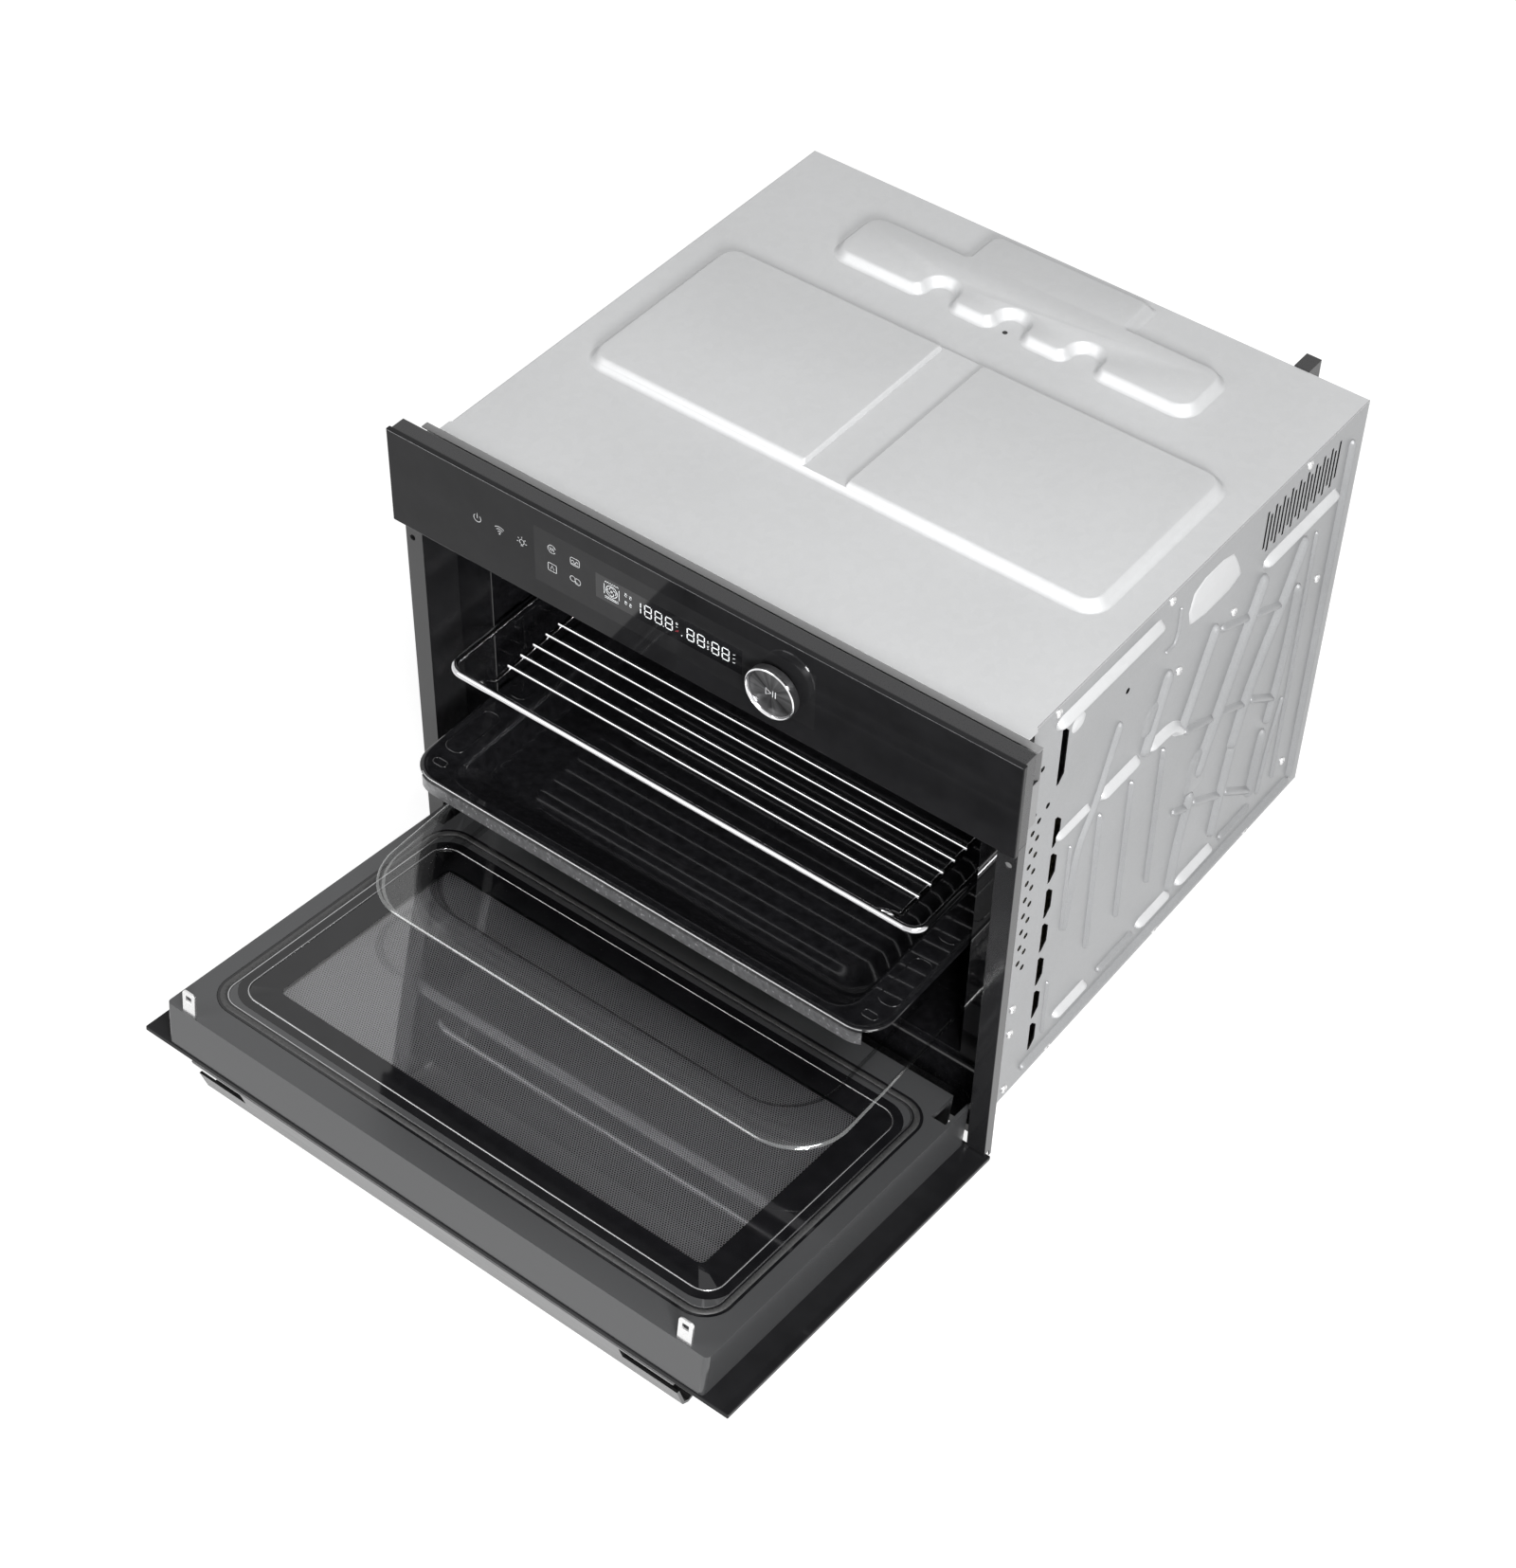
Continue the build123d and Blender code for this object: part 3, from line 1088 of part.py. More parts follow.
NODES = {
    "base_plate": base_plate(),
    "top_cover": top_cover(),
    "side_panel_right": side_panel(),
    "side_panel_left": mirrored(side_panel()),
    "rear_panel": rear_panel(),
    "rear_spacer": rear_spacer(),
    "housing_screws": housing_screws(),
    "front_plate": front_plate(),
    "front_flange_right": front_flange(),
    "front_flange_left": mirrored(front_flange()),
    "front_sill": front_sill(),
    "control_panel_glass": control_panel_glass(),
    "control_panel_carrier": control_panel_carrier(),
    "panel_support": panel_support(),
    "display_board": display_board(),
    "rotary_encoder": rotary_encoder(),
    "encoder_shaft": encoder_shaft(),
    "knob_body": knob_body(),
    "knob_ring": knob_ring(),
    "knob_cap": knob_cap(),
    "door_outer_glass": door_outer_glass(),
    "door_frame": door_frame(),
    "door_inner_glass": door_inner_glass(),
    "door_screen": door_screen(),
    "door_gasket": door_gasket(),
    "door_handle": door_handle(),
    "latch_hooks": latch_hooks(),
    "hinge_arm_right": hinge_arm(),
    "hinge_arm_left": mirrored(hinge_arm()),
    "hinge_bracket_right": hinge_bracket(),
    "hinge_bracket_left": mirrored(hinge_bracket()),
    "cavity_floor": cavity_floor(),
    "cavity_roof": cavity_roof(),
    "cavity_wall_right": cavity_wall(),
    "cavity_wall_left": cavity_wall_left(),
    "cavity_back": cavity_back(),
    "shelf_rails_right": shelf_rails(),
    "shelf_rails_left": mirrored(shelf_rails()),
    "insulation": insulation(),
    "wire_rack": wire_rack(),
    "baking_tray": baking_tray(),
    "glass_tray": glass_tray(),
    "fan_chamber": fan_chamber(),
    "convection_fan": convection_fan(),
    "convection_motor": convection_motor(),
    "ring_heater": ring_heater(),
    "grill_heater": grill_heater(),
    "lamp_housing": lamp_housing(),
    "lamp_lens": lamp_lens(),
    "upper_deck": upper_deck(),
    "magnetron": magnetron(),
    "waveguide": waveguide(),
    "inverter": inverter(),
    "power_board": power_board(),
    "mains_terminal": mains_terminal(),
    "blower_housing": blower_housing(),
    "blower_wheel": blower_wheel(),
    "blower_motor": blower_motor(),
    "latch_switch_right": latch_switch(),
    "latch_switch_left": mirrored(latch_switch()),
}

os.makedirs("parts", exist_ok=True)
for name, shape in NODES.items():
    export_step(shape, f"parts/{name}.step")
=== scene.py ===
import json
from math import cos, pi, radians, sin, sqrt

import bmesh
import bpy
from mathutils import Matrix, Vector


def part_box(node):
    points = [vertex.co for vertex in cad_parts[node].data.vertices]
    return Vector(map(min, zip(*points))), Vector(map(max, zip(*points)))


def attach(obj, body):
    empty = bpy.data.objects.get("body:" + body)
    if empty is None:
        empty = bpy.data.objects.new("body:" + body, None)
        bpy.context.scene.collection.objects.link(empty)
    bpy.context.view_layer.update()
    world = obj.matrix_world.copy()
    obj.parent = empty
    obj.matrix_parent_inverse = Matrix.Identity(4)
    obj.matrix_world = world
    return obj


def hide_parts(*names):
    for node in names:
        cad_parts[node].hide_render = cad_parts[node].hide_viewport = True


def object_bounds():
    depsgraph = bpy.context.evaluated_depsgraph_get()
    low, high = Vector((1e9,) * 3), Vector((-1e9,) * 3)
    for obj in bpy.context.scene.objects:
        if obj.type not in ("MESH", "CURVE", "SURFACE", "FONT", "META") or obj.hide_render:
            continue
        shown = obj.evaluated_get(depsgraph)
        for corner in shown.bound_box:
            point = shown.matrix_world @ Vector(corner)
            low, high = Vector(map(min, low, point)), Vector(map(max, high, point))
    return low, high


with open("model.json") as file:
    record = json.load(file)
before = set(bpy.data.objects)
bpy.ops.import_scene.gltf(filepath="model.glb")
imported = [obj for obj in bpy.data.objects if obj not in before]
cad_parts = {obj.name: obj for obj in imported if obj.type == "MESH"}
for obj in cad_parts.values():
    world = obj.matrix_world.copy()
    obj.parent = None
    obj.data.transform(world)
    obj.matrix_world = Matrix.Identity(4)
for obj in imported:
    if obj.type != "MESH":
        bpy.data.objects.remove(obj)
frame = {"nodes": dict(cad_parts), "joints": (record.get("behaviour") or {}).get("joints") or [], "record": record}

CAD_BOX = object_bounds()
SCENE = bpy.context.scene
MM = 0.001
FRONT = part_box("control_panel_glass")[0].y

# Sizes in millimetres, depths counted back from the front glass
SIDE_X = 275.0
COVER_TOP = 427.0
COVER_FRONT = 38.2
HOUSING_BACK = 524.8
PANEL_BOTTOM = 348.5
PANEL_TOP = 441.0
DOOR_FACE = 47.0

CAMERA_PLACE = (1.0542, -1.6203, 1.9754)
CAMERA_RIGHT = (0.7935, 0.6084, 0.0170)
CAMERA_FORWARD = (-0.4158, 0.5623, -0.7148)
CAMERA_LENS = 71.65
CAMERA_SENSOR = 36.0


def at(x, depth, z):
    """Point in metres from millimetres and a depth behind the front glass."""
    return Vector((x * MM, FRONT + depth * MM, z * MM))


JOINT = next(one for one in frame["joints"] if one["name"] == "door_hinge")
HINGE = Vector(JOINT["pos_m"])
OPEN = radians(JOINT["range_deg"][1])
DOOR = Matrix.Translation(HINGE) @ Matrix.Rotation(OPEN, 4, "X") @ Matrix.Translation(-HINGE)


def door_at(x, depth, z):
    """Point of the closed door, turned to where the open door holds it."""
    return DOOR @ at(x, depth, z)


def put(name, data):
    """New object in the scene."""
    made = bpy.data.objects.new(name, data)
    SCENE.collection.objects.link(made)
    return made


# Mesh building

def along_path(path, loop=False):
    """Points of a path, each with the path's direction there."""
    path = [Vector(point) for point in path]
    count = len(path)
    stations = []
    for number, point in enumerate(path):
        before = path[(number - 1) % count] if loop or number else point
        after = path[(number + 1) % count] if loop or number < count - 1 else point
        stations.append((point, (after - before).normalized()))
    return stations


class Shape:
    """Points and faces of one piece, in metres."""

    def __init__(self):
        self.points = []
        self.faces = []
        self.marks = []
        self.mark = 0

    def add(self, ring):
        first = len(self.points)
        self.points.extend(Vector(point) for point in ring)
        return list(range(first, len(self.points)))

    def face(self, corners):
        self.faces.append(tuple(corners))
        self.marks.append(self.mark)

    def bridge(self, low, high):
        """Faces between two closed rings."""
        count = len(low)
        for one in range(count):
            two = (one + 1) % count
            self.face((low[one], low[two], high[two], high[one]))

    def loft(self, rings, loop=False):
        """Skin over closed rings, with flat ends, or joined end to end."""
        made = [self.add(ring) for ring in rings]
        for low, high in zip(made, made[1:]):
            self.bridge(low, high)
        if loop:
            self.bridge(made[-1], made[0])
        else:
            self.face(reversed(made[0]))
            self.face(made[-1])

    def prism(self, outline, lift):
        """Flat outline of points, thickened by a vector."""
        self.loft([outline, [point + lift for point in outline]])

    def tube(self, path, radius, sides=12, loop=False):
        """Round rod along a path."""
        rings = []
        normal = None
        for point, along in along_path(path, loop):
            if normal is None:
                normal = along.orthogonal().normalized()
            normal = (normal - along * normal.dot(along)).normalized()
            other = along.cross(normal)
            turns = [2 * pi * side / sides for side in range(sides)]
            rings.append([point + (normal * cos(turn) + other * sin(turn)) * radius for turn in turns])
        self.loft(rings, loop=loop)

    def lathe(self, centre, axis, profile, sides, lobes=None, loop=False):
        """Solid of revolution from (radius, height) pairs, or a ring where the profile is a loop."""
        axis = Vector(axis).normalized()
        across = axis.orthogonal().normalized()
        other = axis.cross(across)
        rings = []
        for radius, height in profile:
            ring = []
            for side in range(sides):
                turn = 2 * pi * side / sides
                swell = lobes(turn, radius) if lobes else radius
                spoke = across * cos(turn) + other * sin(turn)
                ring.append(centre + (spoke * swell + axis * height) * MM)
            rings.append(ring)
        self.loft(rings, loop)

    def build(self, name, body, materials, replaces=(), sharp=35):
        """Makes the piece, on its body, in place of the nodes that it replaces."""
        mesh = bpy.data.meshes.new(name)
        mesh.from_pydata([tuple(point) for point in self.points], [], self.faces)
        for one in materials:
            mesh.materials.append(one)
        for polygon, mark in zip(mesh.polygons, self.marks):
            polygon.material_index = mark
        work = bmesh.new()
        work.from_mesh(mesh)
        bmesh.ops.recalc_face_normals(work, faces=work.faces)
        work.to_mesh(mesh)
        work.free()
        mesh.shade_smooth()
        mesh.set_sharp_from_angle(angle=radians(sharp))
        piece = put(name, mesh)
        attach(piece, body)
        if replaces:
            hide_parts(*replaces)


def outline(u, v, radius, steps=8):
    """Rounded rectangle between two pairs of limits, as flat points. One radius, or one for each corner."""
    radii = radius if isinstance(radius, list) else [radius] * 4
    corners = ((u[1], v[1], -1, -1), (u[0], v[1], 1, -1), (u[0], v[0], 1, 1), (u[1], v[0], -1, 1))
    points = []
    for quarter, (across, up, right, rise) in enumerate(corners):
        for step in range(steps + 1):
            turn = (quarter + step / steps) * pi / 2
            reach = radii[quarter]
            points.append((across + reach * (right + cos(turn)), up + reach * (rise + sin(turn))))
    return points


def drawn_in(limits, inset):
    """Pair of limits, each moved inwards."""
    return limits[0] + inset, limits[1] - inset


def smooth(path, rounds=2):
    """Softens the corners of an open path and keeps its ends."""
    path = [Vector(point) for point in path]
    for _ in range(rounds):
        softer = [path[0]]
        for one, two in zip(path, path[1:]):
            softer += [one.lerp(two, 0.25), one.lerp(two, 0.75)]
        path = softer + [path[-1]]
    return path


def even(path, count):
    """Straight path of two points, cut in equal steps."""
    start, end = (Vector(point) for point in path)
    return [start.lerp(end, step / count) for step in range(count + 1)]


def flat_turn(x, z, reach, turn):
    """Point at a reach from a centre, in the direction of a turn in degrees."""
    return x + reach * cos(radians(turn)), z + reach * sin(radians(turn))


def arc(x, z, radius, start, end, steps=20):
    """Points of an arc between two turns in degrees."""
    return [flat_turn(x, z, radius, start + (end - start) * step / steps) for step in range(steps + 1)]


def ease(share):
    """Smooth step from 0 to 1."""
    return share * share * (3 - 2 * share)


# Materials

EVEN = (1.0, 1.0, 1.0)
ALONG_X = (0.02, 1.0, 1.0)
NOISE_RANGE = (0.3, 0.7)
RELIEF = 0.0002
SPANGLE = 160.0
FINE_GRAIN = 900.0
CLOUDS = 7.0
SHEET_RANGE = (0.25, 0.75)
GLASS_WAVE = 14.0
BRUSH_RAYS = 14.0
HOLE_EDGE = (0.27, 0.36)
# Near-black painted shade for faces inside a sheet's outer x, where the slots look into the dark housing
PAINTED_SLOT_SHADE = (0.015, 0.015, 0.015, 1.0)


def fill(node, **values):
    """Sets inputs of a shader node by their names."""
    for name, value in values.items():
        node.inputs[name.replace("_", " ")].default_value = value


class Graph:
    """Shader nodes of one material or world."""

    def __init__(self, owner):
        owner.use_nodes = True
        self.owner = owner
        self.nodes = owner.node_tree.nodes
        self.shader = self.nodes.get("Principled BSDF")

    def node(self, kind, **values):
        made = self.nodes.new("ShaderNode" + kind)
        fill(made, **values)
        return made

    def link(self, source, node, socket):
        self.owner.node_tree.links.new(source, node.inputs[socket])

    def place(self):
        """The object's own coordinates."""
        return self.node("TexCoord").outputs["Object"]

    def noise(self, scale, detail=4.0, stretch=EVEN):
        mapping = self.node("Mapping", Scale=stretch)
        self.link(self.place(), mapping, "Vector")
        texture = self.node("TexNoise", Scale=scale, Detail=detail)
        self.link(mapping.outputs["Vector"], texture, "Vector")
        return texture.outputs["Fac"]

    def combine(self, kind, one, two):
        """Result of a math node on two sources, or on a source and a number."""
        made = self.node("Math")
        made.operation = kind
        for socket, source in enumerate((one, two)):
            if isinstance(source, float):
                made.inputs[socket].default_value = source
            else:
                self.link(source, made, socket)
        return made.outputs["Value"]

    def vector(self, kind, source, value=None):
        """Vector math node after another one, with a fixed second vector or none."""
        made = self.node("VectorMath")
        made.operation = kind
        self.link(source.outputs["Vector"], made, 0)
        if value:
            made.inputs[1].default_value = value
        return made

    def ramp(self, source, low, high, ends=NOISE_RANGE):
        """Colour that runs between two tones as a source does between two numbers."""
        made = self.node("ValToRGB")
        for stop, place, colour in zip(made.color_ramp.elements, ends, (low, high)):
            stop.position = place
            stop.color = (*colour, 1.0)
        self.link(source, made, "Fac")
        return made.outputs["Color"]

    def colour(self, tone):
        self.link(tone, self.shader, "Base Color")

    def gloss(self, source, low, high):
        """Lets the roughness follow a source between two numbers."""
        first, last = NOISE_RANGE
        made = self.node("MapRange", From_Min=first, From_Max=last, To_Min=low, To_Max=high)
        self.link(source, made, "Value")
        self.link(made.outputs["Result"], self.shader, "Roughness")


def material(name):
    return Graph(bpy.data.materials.new(name))


def shaded(colour, vary):
    """A darker and a lighter tone of a colour."""
    return [tuple(part * share for part in colour) for share in (1 - vary, 1 + vary)]


def surface(name, colour, rough, metal=0.0, scale=900.0, vary=0.1, bump=0.0, stretch=EVEN, **sockets):
    """Surface whose colour, gloss and relief follow one grain."""
    graph = material(name)
    grain = graph.noise(scale, stretch=stretch)
    graph.colour(graph.ramp(grain, *shaded(colour, vary)))
    graph.gloss(grain, rough * 0.85, rough * 1.15)
    fill(graph.shader, Metallic=metal, **sockets)
    if bump:
        relief = graph.node("Bump", Strength=bump, Distance=RELIEF)
        graph.link(grain, relief, "Height")
        graph.link(relief.outputs["Normal"], graph.shader, "Normal")
    return graph.owner


def zinc_sheet(name, colour, rough, spangle=0.35, vary=0.05, outer=None):
    """Galvanised sheet with faint spangle and clouds. Faces inside the outer x, such as slot walls, get a
    near-black painted shade.
    """
    graph = material(name)
    place = graph.place()
    cells = graph.node("TexVoronoi", Scale=SPANGLE)
    graph.link(place, cells, "Vector")
    mix = graph.node("Mix")
    mix.data_type = "FLOAT"
    mix.inputs[0].default_value = spangle
    graph.link(graph.noise(FINE_GRAIN), mix, 2)
    graph.link(cells.outputs["Color"], mix, 3)
    halves = [graph.combine("MULTIPLY", one, 0.5) for one in (mix.outputs[0], graph.noise(CLOUDS, 1.0))]
    both = graph.combine("ADD", *halves)
    tone = graph.ramp(both, *shaded(colour, vary), SHEET_RANGE)
    # Painted shade: faces inside the outer x turn near black
    if outer:
        split = graph.node("SeparateXYZ")
        graph.link(place, split, "Vector")
        away = graph.combine("ABSOLUTE", split.outputs["X"], 0.0)
        dark = graph.node("Mix")
        dark.data_type = "RGBA"
        graph.link(graph.combine("LESS_THAN", away, outer), dark, "Factor")
        graph.link(tone, dark, "A")
        fill(dark, B=PAINTED_SLOT_SHADE)
        tone = dark.outputs["Result"]
    graph.colour(tone)
    graph.gloss(both, rough * 0.9, rough * 1.12)
    fill(graph.shader, Metallic=0.25)
    return graph.owner


def wavy_glass(name, colour, rough):
    """Colour and gloss of a faintly wavy glass."""
    graph = material(name)
    wave = graph.noise(GLASS_WAVE, 1.0)
    graph.colour(graph.ramp(wave, *shaded(colour, 0.01)))
    graph.gloss(wave, rough * 0.6, rough * 1.4)
    return graph


def clear(name, colour, rough, bend):
    """Thick clear glass that bends light."""
    graph = wavy_glass(name, colour, rough)
    fill(graph.shader, Transmission_Weight=1.0, IOR=bend)
    return graph.owner


def thin_glass(name, colour, rough, least):
    """Clear glass that mirrors by its angle and lets the rest of the light straight through."""
    graph = wavy_glass(name, colour, rough)
    fill(graph.shader, Metallic=1.0)
    steep = graph.combine("POWER", graph.node("LayerWeight").outputs["Facing"], 5.0)
    mirror = graph.combine("ADD", graph.combine("MULTIPLY", steep, 0.9), least)
    graph.link(mirror, graph.shader, "Alpha")
    return graph.owner


def radial_brush(name, colour, centre):
    """Metal brushed round a centre."""
    graph = material(name)
    mapping = graph.node("Mapping")
    mapping.vector_type = "TEXTURE"
    fill(mapping, Location=centre, Rotation=(pi / 2, 0.0, 0.0))
    graph.link(graph.place(), mapping, "Vector")
    turn = graph.node("TexGradient")
    turn.gradient_type = "RADIAL"
    graph.link(mapping.outputs["Vector"], turn, "Vector")
    rays = graph.node("TexNoise", Scale=BRUSH_RAYS, Detail=2.0)
    rays.noise_dimensions = "1D"
    graph.link(turn.outputs["Fac"], rays, "W")
    brush = rays.outputs["Fac"]
    graph.colour(graph.ramp(brush, *shaded(colour, 0.55)))
    graph.gloss(brush, 0.3, 0.42)
    fill(graph.shader, Metallic=1.0)
    return graph.owner


def dotted(name, metal, hole, pitch):
    """Sheet with round holes in staggered rows."""
    graph = material(name)
    place = graph.place()
    cells = (1 / pitch, 1 / (pitch * sqrt(3)), 0.0)
    masks = []
    for shift in (0.0, 0.5):
        mapping = graph.node("Mapping", Scale=cells, Location=(shift, shift, 0.0))
        graph.link(place, mapping, "Vector")
        cell = graph.vector("FRACTION", mapping)
        middle = graph.vector("SUBTRACT", cell, (0.5, 0.5, 0.0))
        scaled = graph.vector("MULTIPLY", middle, (1.0, sqrt(3), 0.0))
        masks.append(graph.vector("LENGTH", scaled).outputs["Value"])
    nearest = graph.combine("MINIMUM", *masks)
    graph.colour(graph.ramp(nearest, hole, metal, HOLE_EDGE))
    graph.gloss(nearest, 0.8, 0.4)
    fill(graph.shader, Metallic=0.3)
    return graph.owner


KNOB_X = 85.7
KNOB_CENTRE = at(KNOB_X, 0.0, (PANEL_BOTTOM + PANEL_TOP) / 2)
SCREEN_PITCH = 2.3

MATERIALS = {
    "galvanised": zinc_sheet("galvanised", (0.58, 0.585, 0.59), 0.42),
    "black_glass": surface("black_glass", (0.013, 0.013, 0.014), 0.04, scale=40.0, vary=0.15, IOR=1.22),
    "black_paint": surface("black_paint", (0.016, 0.016, 0.017), 0.14, scale=1500.0),
    "door_paint": surface("door_paint", (0.07, 0.071, 0.073), 0.2, metal=0.15, scale=1800.0, vary=0.04),
    "black_plastic": surface("black_plastic", (0.02, 0.02, 0.021), 0.3, scale=1200.0),
    "dark_metal": surface("dark_metal", (0.16, 0.16, 0.165), 0.36, metal=0.9, stretch=ALONG_X),
    "bright_metal": surface("bright_metal", (0.82, 0.82, 0.83), 0.12, metal=1.0, scale=600.0, vary=0.04),
    "zinc": surface("zinc", (0.72, 0.72, 0.72), 0.3, metal=0.9, scale=700.0, vary=0.06),
    "inner_glass": clear("inner_glass", (0.75, 0.75, 0.76), 0.02, 1.75),
    "clear_glass": thin_glass("clear_glass", (0.9, 0.905, 0.9), 0.02, 0.035),
    "screen": dotted("screen", (0.4, 0.4, 0.41), (0.01, 0.01, 0.01), SCREEN_PITCH * MM),
    "gasket": surface("gasket", (0.045, 0.045, 0.045), 0.45, scale=700.0, vary=0.4, bump=0.5),
    "enamel": surface("enamel", (0.008, 0.008, 0.009), 0.05, scale=160.0, vary=0.35),
    "wire": surface("wire", (0.62, 0.62, 0.63), 0.13, metal=1.0, scale=500.0, vary=0.05),
    "wool": surface("wool", (0.6, 0.56, 0.42), 0.9, scale=350.0, vary=0.3, bump=1.0),
    "board": surface("board", (0.02, 0.12, 0.05), 0.45, scale=250.0, vary=0.25),
    "heater": surface("heater", (0.16, 0.15, 0.145), 0.5, metal=0.8, scale=400.0, vary=0.2),
    "motor": surface("motor", (0.22, 0.22, 0.225), 0.45, metal=0.6, scale=500.0),
}
# Side sheet: the galvanised steel in a darker copy, painted shade for the sides, with painted shade also inside
# the outer x
SIDE_SHEET_PAINTED_SHADE = zinc_sheet("side_sheet_painted_shade", (0.31, 0.314, 0.32), 0.31, 0.12, 0.16, (SIDE_X - 0.1) * MM)
# Lighter copy of the side sheet: painted highlight on the ribs, pad and field that face the light
SIDE_PAINTED_HIGHLIGHT = zinc_sheet("side_painted_highlight", (0.6, 0.604, 0.61), 0.31)
STRIP_SHEET = surface("strip_sheet", (0.25, 0.25, 0.252), 0.4, vary=0.08)
HANDLE_BAR = surface("handle_bar", (0.1, 0.1, 0.102), 0.32, metal=0.9, stretch=ALONG_X)
BRUSHED_CAP = radial_brush("brushed_cap", (0.09, 0.09, 0.092), KNOB_CENTRE)
# Black of the pane's border and the band round its ridge; under the gasket it is painted groove shade
BLACK_BORDER_AND_SHADE = surface("black_border_and_shade", (0.008, 0.008, 0.009), 0.05, scale=60.0, vary=0.2)
PRINT = surface("print", (0.7, 0.71, 0.72), 0.5, scale=2000.0, vary=0.05)
LIT = surface("lit", (0.85, 0.88, 0.9), 0.5, scale=2000.0, vary=0.04, Emission_Strength=0.25)
DISPLAY = surface("display", (0.004, 0.004, 0.005), 0.05, scale=90.0, vary=0.3)
TINT = surface("tint", (0.017, 0.017, 0.018), 0.04, scale=60.0, IOR=1.26)
# Painted shade and painted highlight for strips of the dish
GLASS_SHADE = thin_glass("glass_shade", (0.04, 0.042, 0.041), 0.05, 0.3)
GLASS_HIGHLIGHT = thin_glass("glass_highlight", (0.62, 0.63, 0.625), 0.14, 0.28)
# Grey metal for thin painted highlight lines on edges of the cover, gasket, pane ridge and tray
PAINTED_HIGHLIGHT_EDGE = surface("painted_highlight_edge", (0.42, 0.42, 0.425), 0.22, metal=0.9, scale=500.0, vary=0.08)
# Grey painted sheen: the highlight on the panel's top edge and the reflection on the tray's front lip
PAINTED_SHEEN = surface("painted_sheen", (0.2, 0.2, 0.205), 0.25, metal=0.6, scale=220.0, vary=0.3)
RED = surface("red_lit", (0.5, 0.03, 0.05), 0.5, scale=2000.0, vary=0.04)
# Near-black painted shade for a hole
HOLE_SHADE = surface("painted_hole_shade", (0.01, 0.01, 0.01), 0.7, vary=0.3)


# Housing

def pad(shape, ring_at, flank, low, high, start=0.0, end=1.0, steps=8):
    """Pressed pad: rings of an outline that draws in as it rises. The start and end flatten the slope."""
    rings = [ring_at(-flank * 0.08, low - 0.3)]
    for step in range(steps + 1):
        share = step / steps
        eased = (ease(start + (end - start) * share) - ease(start)) / (ease(end) - ease(start))
        rings.append(ring_at(flank * share, low + (high - low) * eased))
    shape.loft(rings)


def plain_ring(x, depth, radii, squeeze=(1.0, 1.0)):
    """Ring function of a rounded rectangle on the top cover. Squeeze narrows its flanks at both x sides."""
    def ring(inset, height):
        across = (x[0] + inset * squeeze[0], x[1] - inset * squeeze[1])
        flat = outline(across, drawn_in(depth, inset), [max(radius - inset, 2.0) for radius in radii])
        return [at(u, v, COVER_TOP + height) for u, v in flat]
    return ring


REAR_HALF = 178.0
REAR_DEPTH = (408.0, 478.0)
REAR_CORNER = 19.0
REAR_STEP_HALF = 82.0
REAR_STEP_BACK = 518.0
SCALLOPS = (-70.0, 0.0, 71.0)
SCALLOP_BITE = 25.0
SCALLOP_RADIUS = 11.0
MOUTH_RADIUS = 13.0
REAR_FLANK = 8.0
REAR_RISE = 8.0
STEP_CORNER = 4.0
COVER_HOLE = (-1.0, 415.0)
COVER_LIP = 277.0
LIP_BACK = 49.2
LIP_SLANT = 2.0
HIGHLIGHT_ROD = 0.5


def rear_ring(inset, height):
    """Outline of the rear pad with its three front scallops and its back step."""
    half = REAR_HALF - inset
    back = REAR_DEPTH[1] - inset
    corner = max(REAR_CORNER - inset * 0.7, 3.0)
    reach = SCALLOP_RADIUS + MOUTH_RADIUS
    mouth = REAR_DEPTH[0] + MOUTH_RADIUS
    bite = REAR_DEPTH[0] + SCALLOP_BITE - SCALLOP_RADIUS
    flat = []
    for middle in SCALLOPS:
        flat += arc(middle - reach, mouth, MOUTH_RADIUS - inset, -90, 0, 6)
        flat += arc(middle, bite, SCALLOP_RADIUS + inset, 180, 0, 14)
        flat += arc(middle + reach, mouth, MOUTH_RADIUS - inset, 180, 270, 6)
    front = REAR_DEPTH[0] + inset + corner
    flat += arc(half - corner, front, corner, -90, 0, 8)
    flat += arc(half - corner, back - corner, corner, 0, 90, 8)
    step_half = REAR_STEP_HALF - inset
    step_back = REAR_STEP_BACK - inset
    run = [
        (step_half + STEP_CORNER, back), (step_half, back + STEP_CORNER),
        (step_half, step_back - STEP_CORNER), (step_half - STEP_CORNER, step_back),
    ]
    flat += run + [(-x, depth) for x, depth in reversed(run)]
    flat += arc(-half + corner, back - corner, corner, 90, 180, 8)
    flat += arc(-half + corner, front, corner, 180, 270, 8)
    return [at(x, depth, COVER_TOP + height) for x, depth in flat]


PAD_HALF = 247.0
PAD_DEPTH = (170.0, 368.0)
PAD_CHANNEL = (-25.0, 13.5)
PAD_STEP = 4.0
PAD_FLANK = 4.75
PAD_CORNER = 22.0


